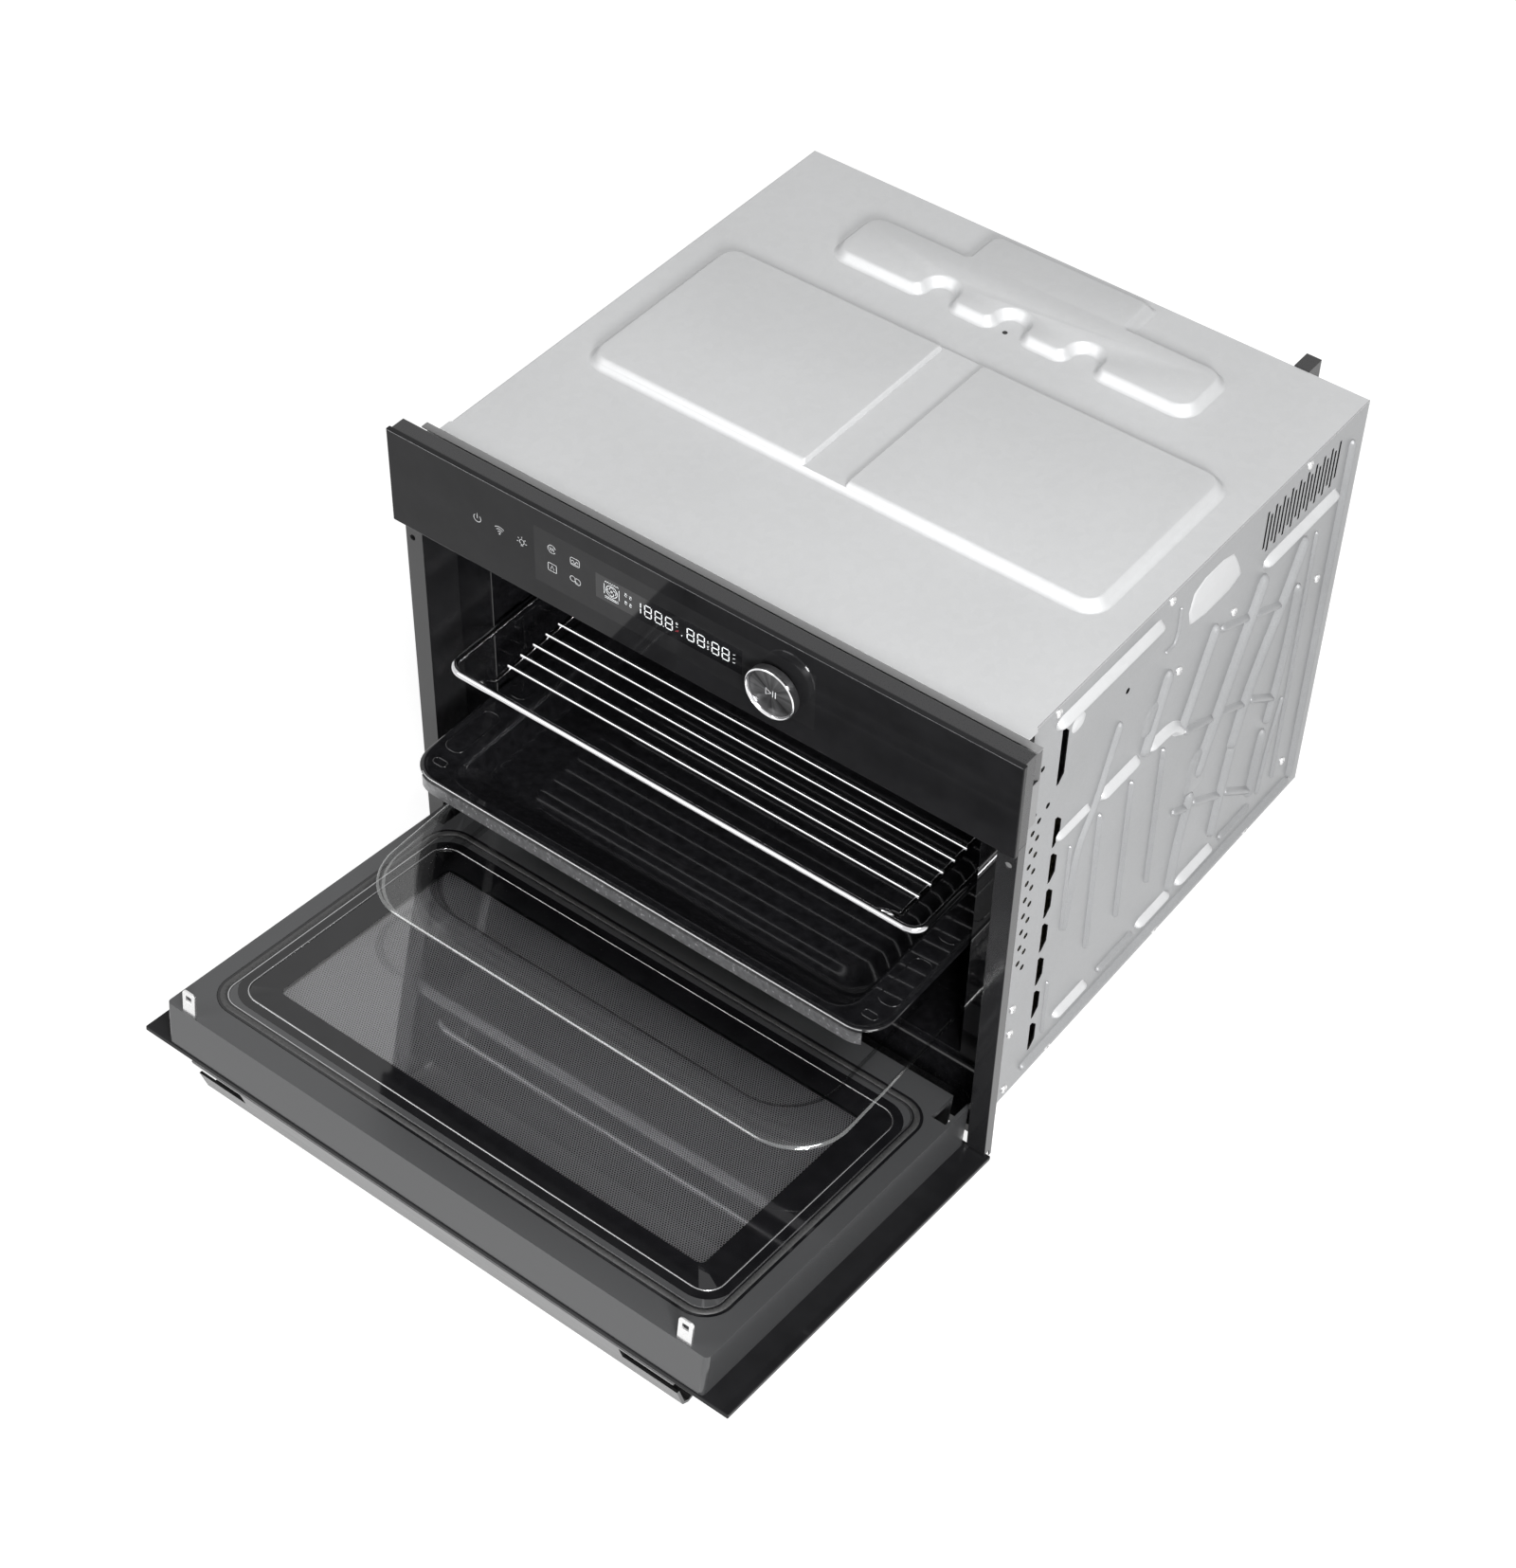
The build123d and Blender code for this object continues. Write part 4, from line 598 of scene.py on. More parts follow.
def make_top_cover():
    """Sheet with a front lip, two pads on one step, and the rear pad."""
    cover = Shape()
    slant_back = LIP_BACK + LIP_SLANT
    half_edge = (
        (COVER_LIP, COVER_FRONT), (COVER_LIP, LIP_BACK), (SIDE_X, slant_back), (SIDE_X, HOUSING_BACK),
    )
    inward = {COVER_FRONT: 1, HOUSING_BACK: -1}
    rings = []
    for inset, height in ((0.0, -1.0), (0.0, -0.35), (0.3, 0.0)):
        right = [(x - inset, depth + inward.get(depth, 0) * inset) for x, depth in half_edge]
        left = [(-x, depth) for x, depth in reversed(right)]
        rings.append([at(x, depth, COVER_TOP + height) for x, depth in right + left])
    cover.loft(rings)
    # Thin rods along the cover's side edges: painted highlight lines
    cover.mark = 2
    rod_ends = (slant_back + 1.0, HOUSING_BACK - HIGHLIGHT_ROD)
    for side in (1, -1):
        rod = [at(side * (SIDE_X - 0.4), depth, COVER_TOP - 0.35) for depth in rod_ends]
        cover.tube(rod, HIGHLIGHT_ROD * MM, 8)
    cover.mark = 0
    lower = plain_ring((-PAD_HALF, PAD_HALF), PAD_DEPTH, [PAD_CORNER] * 4)
    pad(cover, lower, PAD_FLANK, 0.0, PAD_STEP, end=0.5)
    depth = drawn_in(PAD_DEPTH, PAD_FLANK)
    wide = PAD_CORNER - PAD_FLANK
    left = plain_ring((-PAD_HALF + PAD_FLANK, PAD_CHANNEL[0]), depth, [3.0, wide, wide, 3.0], (1.0, 0.5))
    right = plain_ring((PAD_CHANNEL[1], PAD_HALF - PAD_FLANK), depth, [wide, 3.0, 3.0, wide], (0.5, 1.0))
    for upper in (left, right):
        pad(cover, upper, PAD_FLANK, PAD_STEP, 2 * PAD_STEP, start=0.5)
    pad(cover, rear_ring, REAR_FLANK, 0.0, REAR_RISE)
    # Near-black disc over the cover's hole: painted shade
    cover.mark = 1
    cover.lathe(at(*COVER_HOLE, COVER_TOP), (0, 0, 1), ((2.3, 0.02), (2.3, 0.06), (0.2, 0.06)), 20)
    sheets = [MATERIALS["galvanised"], HOLE_SHADE, PAINTED_HIGHLIGHT_EDGE]
    cover.build("pressed_top_cover", "oven", sheets, ["top_cover"], 40)


PAINTED_HIGHLIGHT_RIBS = 8
RIB_LIFT = 1.9
SINK = 0.15
RIDGE_ACROSS = (-1.0, -0.8, -0.55, -0.28, 0.0, 0.28, 0.55, 0.8, 1.0)
RIDGE_END = (0.97, 0.8, 0.5)

# Pressed ribs of the sides: width, rise and a path of (depth, height) points. The ones with painted highlight come
# first
RIBS = (
    (14, 3.2, (86, 406), (214, 406)), (14, 3.2, (386, 353), (486, 353)),
    (11, 2.0, (104, 273), (138, 273)), (14, 3.0, (165, 270), (206, 270)),
    (13, 3.2, (232, 269), (256, 268), (268, 261), (276, 252)), (11, 3.0, (133, 40), (170, 40)),
    (12, 3.0, (258, 40), (296, 40)), (13, 3.0, (320, 40), (364, 40)),
    (9, 2.0, (388, 38), (430, 38)), (9, 2.0, (198, 37), (243, 37)), (11, 2.5, (90, 15), (500, 15)),
    (6, 1.8, (163, 246), (168, 92)), (6, 1.8, (208, 246), (213, 90)), (6, 1.8, (254, 246), (259, 92)),
    (14, 3.2, (383, 334), (366, 292), (347, 243), (332, 205), (320, 172)),
    (12, 2.8, (314, 145), (308, 118), (304, 85), (302, 48)),
    (13, 3.0, (447, 330), (425, 280), (402, 237), (386, 198), (377, 160)),
    (11, 2.8, (377, 152), (371, 110), (366, 62)),
    (10, 2.6, (452, 278), (451, 228), (446, 185), (438, 140)),
    (11, 2.6, (434, 125), (430, 95), (428, 60)),
    (11, 2.8, (311, 334), (300, 306), (288, 272), (280, 254)),
    (12, 2.8, (243, 335), (232, 300), (222, 272)),
    (8, 2.0, (175, 334), (160, 290), (150, 263), (135, 240), (131, 205), (128, 150)),
    (9, 2.0, (326, 325), (364, 308)), (9, 2.0, (384, 298), (420, 282)),
    (9, 2.0, (290, 240), (328, 224)), (9, 2.0, (347, 217), (384, 198)),
    (9, 2.0, (291, 146), (312, 134)), (9, 2.0, (326, 130), (366, 105)),
    (9, 2.0, (402, 190), (440, 163)), (9, 2.0, (384, 95), (430, 60)), (5, 1.4, (469, 325), (471, 45)),
    (5, 1.4, (462, 145), (452, 100), (446, 45)), (9, 2.4, (505, 395), (506, 20)),
    (4, 1.2, (122, 245), (124, 150)), (4, 1.2, (113, 95), (114, 35)),
    (3.5, 1.0, (249, 400), (249, 366), (235, 366)),
)
SIDE_FIELD = ((262, 386), (268, 366), (345, 366), (333, 390), (320, 409), (268, 409))

# Low pads of the sides: depths, heights, corner, rise
SIDE_BLOBS = (((303, 337), (147, 197), 12.0, 2.2), ((213, 242), (285, 318), 11.0, 2.0))
BLOB_FLANK = 6.0
PAINTED_HIGHLIGHT_BLOB = ((101, 121), (378, 396), 9.0, 1.8)


def rounded_end(station, reach, shares):
    """Stations past the end of a ridge, which narrow it to a round."""
    point, along, _ = station
    return [(point + along * reach * share, along, sqrt(1 - share * share)) for share in shares]


def bead(shape, path, width, rise, place):
    """Rounded ridge along a flat path. The place function takes the two flat numbers and a height."""
    path = smooth(path) if len(path) > 2 else even(path, 6)
    half = width / 2
    stations = [(point, along, 1.0) for point, along in along_path(path)]
    front = rounded_end(stations[0], -half, RIDGE_END)
    back = rounded_end(stations[-1], half, reversed(RIDGE_END))
    rings = []
    for point, along, size in front + stations + back:
        ring = []
        for share in RIDGE_ACROSS:
            side = share * half * size
            height = rise * size * cos(share * pi / 2) ** 1.5 - SINK
            ring.append(place(point.x - along.y * side, point.y + along.x * side, height))
        rings.append(ring)
    shape.loft(rings)


def blob(shape, flat_u, flat_v, corner, rise, place):
    """Low pressed pad on a flat face."""
    rings = []
    for share in (0.0, 0.2, 0.4, 0.6, 0.8, 1.0):
        inset = BLOB_FLANK * share
        flat = outline(drawn_in(flat_u, inset), drawn_in(flat_v, inset), max(corner - inset, 2.0))
        rings.append([place(u, v, rise * ease(share) - SINK) for u, v in flat])
    shape.loft(rings)


def make_side_ribs(name, side):
    """Ribs, low pads and the field of one side panel. The first ribs, one pad and the field get painted highlight,
    the rest the side sheet's painted shade.
    """
    def place(depth, z, height):
        return at(side * (SIDE_X + height), depth, z)
    ribs = Shape()
    for number, (width, rise, *path) in enumerate(RIBS):
        ribs.mark = int(number < PAINTED_HIGHLIGHT_RIBS)
        bead(ribs, path, width, rise * RIB_LIFT, place)
    for one in SIDE_BLOBS:
        blob(ribs, *one, place)
    # Painted highlight on this pad and on the field
    ribs.mark = 1
    blob(ribs, *PAINTED_HIGHLIGHT_BLOB, place)
    edge = smooth([*SIDE_FIELD, SIDE_FIELD[0]], 1)[:-1]
    middle, level = (sum(values) / len(SIDE_FIELD) for values in zip(*SIDE_FIELD))
    rings = []
    for share, height in ((1.0, -SINK), (0.97, 0.7), (0.9, 1.1)):
        rings.append([place(middle + (depth - middle) * share, level + (z - level) * share, height)
                      for depth, z in edge])
    ribs.loft(rings)
    ribs.build(name, "oven", [SIDE_SHEET_PAINTED_SHADE, SIDE_PAINTED_HIGHLIGHT], (), 60)


REAR_RIBS = (
    (14, 3.0, (-230, 60), (-40, 60)), (14, 3.0, (40, 60), (230, 60)),
    (14, 3.0, (-230, 250), (-40, 250)), (14, 3.0, (40, 250), (230, 250)),
    (12, 2.6, (-150, 90), (-150, 220)), (12, 2.6, (150, 90), (150, 220)),
)
REAR_BLOB = ((-90, 90), (95, 215), 26.0, 3.0)


def make_rear_ribs():
    """Four level ribs, two upright ones and a pad on the rear panel."""
    def place(x, z, height):
        return at(x, HOUSING_BACK + height, z)
    ribs = Shape()
    for width, rise, *path in REAR_RIBS:
        bead(ribs, path, width, rise, place)
    blob(ribs, *REAR_BLOB, place)
    ribs.build("rear_ribs", "oven", [MATERIALS["galvanised"]], (), 60)


# Screws of each side: depth and height
SCREWS = (
    (80, 420), (232, 420), (433, 420), (260, 328), (340, 332), (487, 264), (488, 50), (62, 110), (62, 80),
    (63, 10), (125, 6), (288, 6), (435, 6),
)
SCREW_RADIUS = 3.9
SCREW_PROFILE = (
    (SCREW_RADIUS, -0.2), (SCREW_RADIUS, 0.5), (SCREW_RADIUS * 0.93, 1.1), (SCREW_RADIUS * 0.75, 1.6),
    (SCREW_RADIUS * 0.57, 1.85), (1.7, 1.9), (1.6, 0.8), (0.3, 0.7),
)
RECESS_REACH = 2.2
LOBE = 0.16


def six_lobes(turn, radius):
    """Star recess in the middle of a screw head."""
    return radius * (1 + LOBE * cos(6 * turn)) if radius < RECESS_REACH else radius


def make_screws():
    heads = Shape()
    for side in (1, -1):
        for depth, z in SCREWS:
            heads.lathe(at(side * SIDE_X, depth, z), (side, 0, 0), SCREW_PROFILE, 24, six_lobes)
    heads.build("screw_heads", "oven", [MATERIALS["zinc"]], ["housing_screws"])


# Panel graphics

PLATE_SINK = 0.00002
LIFT = Vector((0.0, 0.00012, 0.0))
PRINT_DEPTH = -0.05
PRINT_LINE = 0.55
LIT_LINE = 0.5
DIGIT_LINE = 0.95
DIGIT_GAP = 0.35
DIGIT_DEPTH = -0.12
KNOB_LINE = 0.8


def stroke(shape, path, width=PRINT_LINE, loop=False, depth=PRINT_DEPTH):
    """Thin printed line on the glass."""
    rings = []
    for point, along in along_path(path, loop):
        side = Vector((-along.y, along.x)) * width / 2
        one = at(point.x + side.x, depth, point.y + side.y)
        two = at(point.x - side.x, depth, point.y - side.y)
        rings.append([one, two, two + LIFT, one + LIFT])
    shape.loft(rings, loop=loop)


def plate(shape, x, z, depth):
    """Thin flat rectangle on the glass."""
    corners = [at(x[u], depth, z[v]) for u, v in ((0, 0), (1, 0), (1, 1), (0, 1))]
    shape.prism(corners, Vector((0.0, PLATE_SINK - depth * MM, 0.0)))


def segment(shape, start, end):
    """One bar of a digit, with pointed ends."""
    half = DIGIT_LINE / 2
    along = (Vector(end) - Vector(start)).normalized()
    side = Vector((-along.y, along.x)) * half
    first = Vector(start) + along * DIGIT_GAP
    last = Vector(end) - along * DIGIT_GAP
    point = along * half
    flat = [
        first, first + point + side, last - point + side,
        last, last - point - side, first + point - side,
    ]
    shape.prism([at(x, DIGIT_DEPTH, z) for x, z in flat], LIFT)


def digit(shape, x, z, lit="abcdefg"):
    """One figure from some or all of its seven bars."""
    left, right = x
    low, high = z
    middle = (low + high) / 2
    bars = {
        "a": ((left, high), (right, high)), "b": ((right, high), (right, middle)),
        "c": ((right, middle), (right, low)), "d": ((left, low), (right, low)),
        "e": ((left, middle), (left, low)), "f": ((left, high), (left, middle)),
        "g": ((left, middle), (right, middle)),
    }
    for name in lit:
        segment(shape, *bars[name])


def power_mark(marks, x, z):
    """Broken ring with an upright bar."""
    stroke(marks, arc(x, z, 3.6, 130, 410))
    stroke(marks, [(x, z + 0.1), (x, z + 4.9)])


def wave_mark(marks, x, z):
    """Three bows over a dot."""
    for radius in (2.6, 4.8, 7.0):
        stroke(marks, arc(x, z, radius, 50, 130, 12))
    stroke(marks, arc(x, z + 0.1, 0.5, 0, 330, 10), loop=True)


def lamp_mark(marks, x, z):
    """Bulb with two lines at its foot and five rays."""
    stroke(marks, arc(x, z, 2.3, -55, 235))
    for drop in (2.7, 3.9):
        stroke(marks, [(x - 1.1, z - drop), (x + 1.1, z - drop)])
    for turn in (-10, 40, 90, 140, 190):
        stroke(marks, [flat_turn(x, z, reach, turn) for reach in (3.5, 5.0)])


def heat_mark(marks, x, z):
    """Broken ring round three upright waves."""
    stroke(marks, arc(x, z, 3.9, 20, 325))
    for shift in (-1.7, 0.0, 1.7):
        stroke(marks, [(x + shift + 0.5 * sin(step), z - 1.7 + 0.55 * step) for step in range(7)])


def bake_mark(marks, x, z):
    """Round-cornered box with a wave over a line."""
    stroke(marks, outline((x - 4.4, x + 4.4), (z - 3.6, z + 3.6), 1.6, 4), loop=True)
    stroke(marks, [(x - 3.0 + step * 0.75, z - 0.1 + 1.5 * sin(step * 1.2)) for step in range(9)])
    stroke(marks, [(x - 3.4, z - 2.3), (x + 3.4, z - 2.3)])


def roof_mark(marks, x, z):
    """Box with a pointed roof line."""
    stroke(marks, outline((x - 4.1, x + 4.1), (z - 3.8, z + 3.8), 0.8, 3), loop=True)
    stroke(marks, [(x - 1.7, z - 2.0), (x, z + 2.2), (x + 1.7, z - 2.0)])


def twin_mark(marks, x, z):
    """Two broken rings and a bent line."""
    stroke(marks, arc(x - 2.2, z + 0.2, 2.6, 40, 330))
    stroke(marks, arc(x + 2.4, z - 0.8, 3.0, -150, 140))
    stroke(marks, [(x - 0.4, z + 2.6), (x + 0.6, z - 2.0), (x + 3.0, z - 2.8)])


PANEL_MARKS = (
    (power_mark, -206.5, 398.5), (wave_mark, -184.0, 394.5), (lamp_mark, -161.5, 398.6),
    (heat_mark, -131.3, 407.6), (bake_mark, -108.6, 407.0), (roof_mark, -131.5, 389.0),
    (twin_mark, -109.0, 389.0),
)

# Thin plates on the panel: name, x, z, depth and finish. The edge plate is a painted highlight along the glass's
# top front edge
PANEL_PLATES = (
    ("panel_tint", (-149, 118), (368.5, 423), -0.02, TINT),
    ("display_window", (-88.5, 51), (384.5, 408.5), -0.04, DISPLAY),
    ("panel_edge_highlight", (-296.5, 296.5), (PANEL_TOP - 1.3, PANEL_TOP - 0.7), -0.02, PAINTED_SHEEN),
)


def make_panel_print():
    """Plates, symbols and lit figures of the control panel."""
    for name, x, z, depth, look in PANEL_PLATES:
        sheet = Shape()
        plate(sheet, x, z, depth)
        sheet.build(name, "oven", [look])
    marks = Shape()
    for draw, x, z in PANEL_MARKS:
        draw(marks, x, z)
    marks.build("panel_marks", "oven", [PRINT])
    make_display()


def make_fan_mark(lit, x, z):
    """Fan in a ring, with a zigzag above, two lines below and one at each side."""
    zigzag = [(x - 6.6 + step * 1.1, z + (8.3 if step % 2 else 6.9)) for step in range(13)]
    stroke(lit, zigzag, LIT_LINE)
    for row in (-7.0, -8.5):
        stroke(lit, [(x - 6.6, z + row), (x + 6.6, z + row)], LIT_LINE)
    for side in (-7.2, 7.2):
        stroke(lit, [(x + side, z - 5.2), (x + side, z + 5.2)], LIT_LINE)
    stroke(lit, arc(x, z, 5.4, 0, 345, 24), LIT_LINE, loop=True)
    for turn in range(0, 360, 90):
        stroke(lit, arc(*flat_turn(x, z, 2.3, turn), 1.9, turn - 60, turn + 120, 8), LIT_LINE)
    stroke(lit, arc(x, z, 0.8, 0, 330, 10), LIT_LINE, loop=True)


DIGIT_Z = (391.0, 402.1)
DIGIT_WIDTH = 6.3
DIGITS_X = (-41.0, -31.0, -21.0, -0.5, 9.4, 22.9, 32.5)
SMALL_MARKS = ((-59, 401.2), (-54.5, 400.6), (-59, 393.4), (-54.5, 393.0))


def make_display():
    """Lit figures, dots and small signs of the display."""
    lit = Shape()
    digit(lit, (-52.0, -45.0), DIGIT_Z, "bc")
    for left in DIGITS_X:
        digit(lit, (left, left + DIGIT_WIDTH), DIGIT_Z)
    make_fan_mark(lit, -73.0, 397.0)
    for x, z in SMALL_MARKS:
        stroke(lit, arc(x, z, 1.1, 20, 300, 10), LIT_LINE)
        stroke(lit, [(x - 1.2, z + 1.8), (x + 0.6, z + 1.8)], LIT_LINE)
    stroke(lit, arc(-10.4, 400.6, 0.8, 0, 330, 10), LIT_LINE, loop=True)
    stroke(lit, [(-11.2, 397.4), (-9.4, 397.4)], LIT_LINE)
    stroke(lit, [(-23.6, 390.8), (-22.7, 390.8)], DIGIT_LINE)
    stroke(lit, [(-6.2, 391.4), (-5.2, 391.4)], DIGIT_LINE)
    for z in (393.5, 399.5):
        stroke(lit, arc(19, z, 0.4, 0, 330, 8), LIT_LINE, loop=True)
    for z in (391.6, 394.6, 397.6):
        stroke(lit, [(18.2, z), (20.0, z + 0.6)], LIT_LINE)
    for z in (392, 396, 400):
        stroke(lit, [(42.4, z), (44.6, z + 0.9)], LIT_LINE)
    lit.mark = 1
    stroke(lit, [(-11.4, 392.0), (-10.6, 394.2), (-9.8, 392.6), (-9.0, 394.6)], LIT_LINE)
    lit.build("display_figures", "oven", [LIT, RED])


# Knob profiles: pairs of radius and height over the glass
GRIP_PROFILE = (
    (3.2, 2.0), (16.2, 2.0), (17.0, 2.6), (17.0, 4.6), (17.6, 5.1), (21.6, 5.1), (22.6, 5.9),
    (22.8, 6.8), (22.8, 11.4), (20.5, 11.4), (20.5, 10.2), (3.2, 10.2),
)
RIM_PROFILE = (
    (22.8, 11.45), (22.75, 12.8), (22.3, 13.35), (21.8, 13.5), (21.3, 13.35), (21.0, 12.9),
    (20.35, 10.3), (20.55, 10.3), (20.55, 11.45),
)
FACE_PROFILE = ((20.3, 10.25), (20.3, 10.5), (20.0, 10.6), (6.0, 10.7), (0.4, 10.7))
KNOB_AXIS = (0, -1, 0)
KNOB_MARK_DEPTH = -10.8


def make_knob():
    """Grip, bright rim, brushed face and the start and pause sign on it."""
    grip = Shape()
    grip.lathe(KNOB_CENTRE, KNOB_AXIS, GRIP_PROFILE, 96)
    grip.build("knob_grip", "knob", [MATERIALS["dark_metal"]], ["knob_body"])
    rim = Shape()
    rim.lathe(KNOB_CENTRE, KNOB_AXIS, RIM_PROFILE, 128, loop=True)
    rim.build("knob_rim", "knob", [MATERIALS["bright_metal"]], ["knob_ring"])
    face = Shape()
    face.lathe(KNOB_CENTRE, KNOB_AXIS, FACE_PROFILE, 96)
    face.build("knob_face", "knob", [BRUSHED_CAP], ["knob_cap"])
    mark = Shape()
    x, z = KNOB_CENTRE.x / MM, KNOB_CENTRE.z / MM
    triangle = [(x - 4.6, z - 3.0), (x - 4.6, z + 3.0), (x + 0.2, z)]
    stroke(mark, triangle, KNOB_LINE, True, KNOB_MARK_DEPTH)
    for left in (1.8, 4.2):
        stroke(mark, [(x + left, z - 3.0), (x + left, z + 3.0)], KNOB_LINE, False, KNOB_MARK_DEPTH)
    mark.build("knob_mark", "knob", [PRINT])


# Door

def door_ring(shape, half, z, corner, profile):
    """Closed bead round the door's inner face, from (outward, depth) pairs."""
    rings = []
    for outward, depth in profile:
        across = drawn_in((-half, half), -outward)
        flat = outline(across, drawn_in(z, -outward), max(corner + outward, 1.0), 10)
        rings.append([door_at(x, depth, height) for x, height in flat])
    shape.loft(rings, loop=True)


def flat_band(inner, outer, height):
    """Profile of a thin flat band on the door's inner face."""
    low, high = DOOR_FACE - 0.1, DOOR_FACE + height
    return [(inner, low), (inner, high), (outer, high), (outer, low)]


def oval(outward, high, depth, steps):
    """Oval profile of a bead, from its two half sizes and the depth of its middle."""
    turns = [2 * pi * step / steps for step in range(steps)]
    return [(outward * cos(turn), depth + high * sin(turn)) for turn in turns]


GASKET_HALF = 252.0
GASKET_Z = (32.0, 315.0)
GASKET_CORNER = 22.0
PANE_HALF = 239.0
PANE_Z = (50.5, 296.5)
PANE_CORNER = 17.0
PANE_BACK = DOOR_FACE - 3.4
PANE_FRONT = DOOR_FACE - 0.02
WINDOW_HALF = 215.0
WINDOW_Z = (72.0, 275.5)
WINDOW_CORNER = 6.0


def make_gasket():
    """Bead on a black band of painted groove shade, with a painted highlight line on its inner side."""
    gasket = Shape()
    # Second band: black painted groove shade; third: painted highlight line
    for mark, profile in enumerate((
        oval(2.6, 1.2, DOOR_FACE - 0.3, 16), flat_band(-4.6, 4.6, 0.04), flat_band(-4.6, -3.7, 0.3),
    )):
        gasket.mark = mark
        door_ring(gasket, GASKET_HALF, GASKET_Z, GASKET_CORNER, profile)
    looks = [MATERIALS["gasket"], BLACK_BORDER_AND_SHADE, PAINTED_HIGHLIGHT_EDGE]
    gasket.build("gasket_bead", "door", looks, ["door_gasket"], 70)


def make_pane():
    """Inner glass with a black border, and round it the ridge in a painted highlight colour and a black band."""
    ridge = Shape()
    door_ring(ridge, PANE_HALF, PANE_Z, PANE_CORNER, oval(0.7, 0.5, DOOR_FACE + 0.2, 12))
    ridge.mark = 1
    door_ring(ridge, PANE_HALF, PANE_Z, PANE_CORNER, flat_band(0.6, 8.6, 0.1))
    ridge.build("pane_ridge", "door", [PAINTED_HIGHLIGHT_EDGE, BLACK_BORDER_AND_SHADE], (), 70)
    pane = Shape()
    rings = []
    for inset, depth in ((0.0, PANE_BACK), (0.0, DOOR_FACE - 0.3), (0.3, PANE_FRONT)):
        flat = outline(drawn_in((-PANE_HALF, PANE_HALF), inset), drawn_in(PANE_Z, inset), PANE_CORNER, 10)
        rings.append([door_at(x, depth, z) for x, z in flat])
    flat = outline((-WINDOW_HALF, WINDOW_HALF), WINDOW_Z, WINDOW_CORNER, 10)
    rings.append([door_at(x, PANE_FRONT, z) for x, z in flat])
    made = [pane.add(ring) for ring in rings]
    for low, high in zip(made, made[1:]):
        pane.bridge(low, high)
    under = pane.add([door_at(x, PANE_BACK, z) for x, z in flat])
    pane.bridge(made[0], under)
    pane.mark = 1
    pane.face(made[-1])
    pane.face(reversed(under))
    looks = [BLACK_BORDER_AND_SHADE, MATERIALS["inner_glass"]]
    pane.build("inner_pane", "door", looks, ["door_inner_glass"])


# Shelves

def box_sizes(low, high):
    """Half width, depths and heights of a box, in millimetres."""
    return high.x / MM, ((low.y - FRONT) / MM, (high.y - FRONT) / MM), (low.z / MM, high.z / MM)


FRAME_ROD = 3.0
FRAME_CORNER = 13.0
CARRIER_ROD = 2.4
CARRIER_X = 203.5
CARRIER_END = 26.0
WIRE_ROD = 1.5
WIRE_ENDS = (-205.0, -100.0, 0.0, 100.0, 205.0)
WIRE_LEVEL = 4.8
WIRE_STEP = 15.93
FIRST_WIRE = 42.1
LAST_WIRE = 20.0

# How a carrier curls up to the frame: x, distance from the frame, share of the rise
CURL = ((203.5, 21, 0.02), (203.2, 15, 0.3), (202.0, 9, 0.75), (199.0, 4, 1.0), (195.0, 2, 1.0))


def make_rack():
    """Round-rod frame, two carriers that curl up to it, and the wires across them."""
    half, depth, height = box_sizes(*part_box("wire_rack"))
    half -= FRAME_ROD
    front = depth[0] + FRAME_ROD
    back = depth[1] - FRAME_ROD
    top = height[1] - FRAME_ROD
    wire_z = height[0] + WIRE_LEVEL
    carrier_z = wire_z - CARRIER_ROD
    rise = top - carrier_z
    rack = Shape()
    loop = outline((-half, half), (front, back), FRAME_CORNER, 8)
    rack.tube([at(x, run, top) for x, run in loop], FRAME_ROD * MM, 16, loop=True)
    for side in (1, -1):
        rear = [at(side * x, back - gap, carrier_z + rise * share) for x, gap, share in reversed(CURL)]
        path = [at(side * CARRIER_X, run, carrier_z) for run in (back - CARRIER_END, front + CARRIER_END)]
        head = [at(side * x, front + gap, carrier_z + rise * share) for x, gap, share in CURL]
        rack.tube(rear + path + head, CARRIER_ROD * MM)
    run = front + FIRST_WIRE
    while run < back - LAST_WIRE:
        rack.tube([at(x, run, wire_z) for x in WIRE_ENDS], WIRE_ROD * MM)
        run += WIRE_STEP
    rack.build("rack_wires", "rack", [MATERIALS["wire"]], ["wire_rack"], 60)


def pan_rings(shape, half, depth, profile, steps=10, bright=(), dark=()):
    """Pan from rows of side inset, end inset, height and corner, from its upper middle to its underside."""
    made = []
    for side, end, z, corner in profile:
        flat = outline(drawn_in((-half, half), side), drawn_in(depth, end), corner, steps)
        made.append(shape.add([at(u, v, z) for u, v in flat]))
    for number, (low, high) in enumerate(zip(made, made[1:])):
        # Marks 1 and 2 give strips the second and third material, painted highlight and painted shade on the dish
        shape.mark = 1 if number in bright else 2 if number in dark else 0
        shape.bridge(low, high)
    shape.mark = 0
    shape.face(reversed(made[0]))
    shape.face(made[-1])


TRAY_WALL = 1.2
TRAY_RIM = 1.0
TRAY_CORNER = 27.0


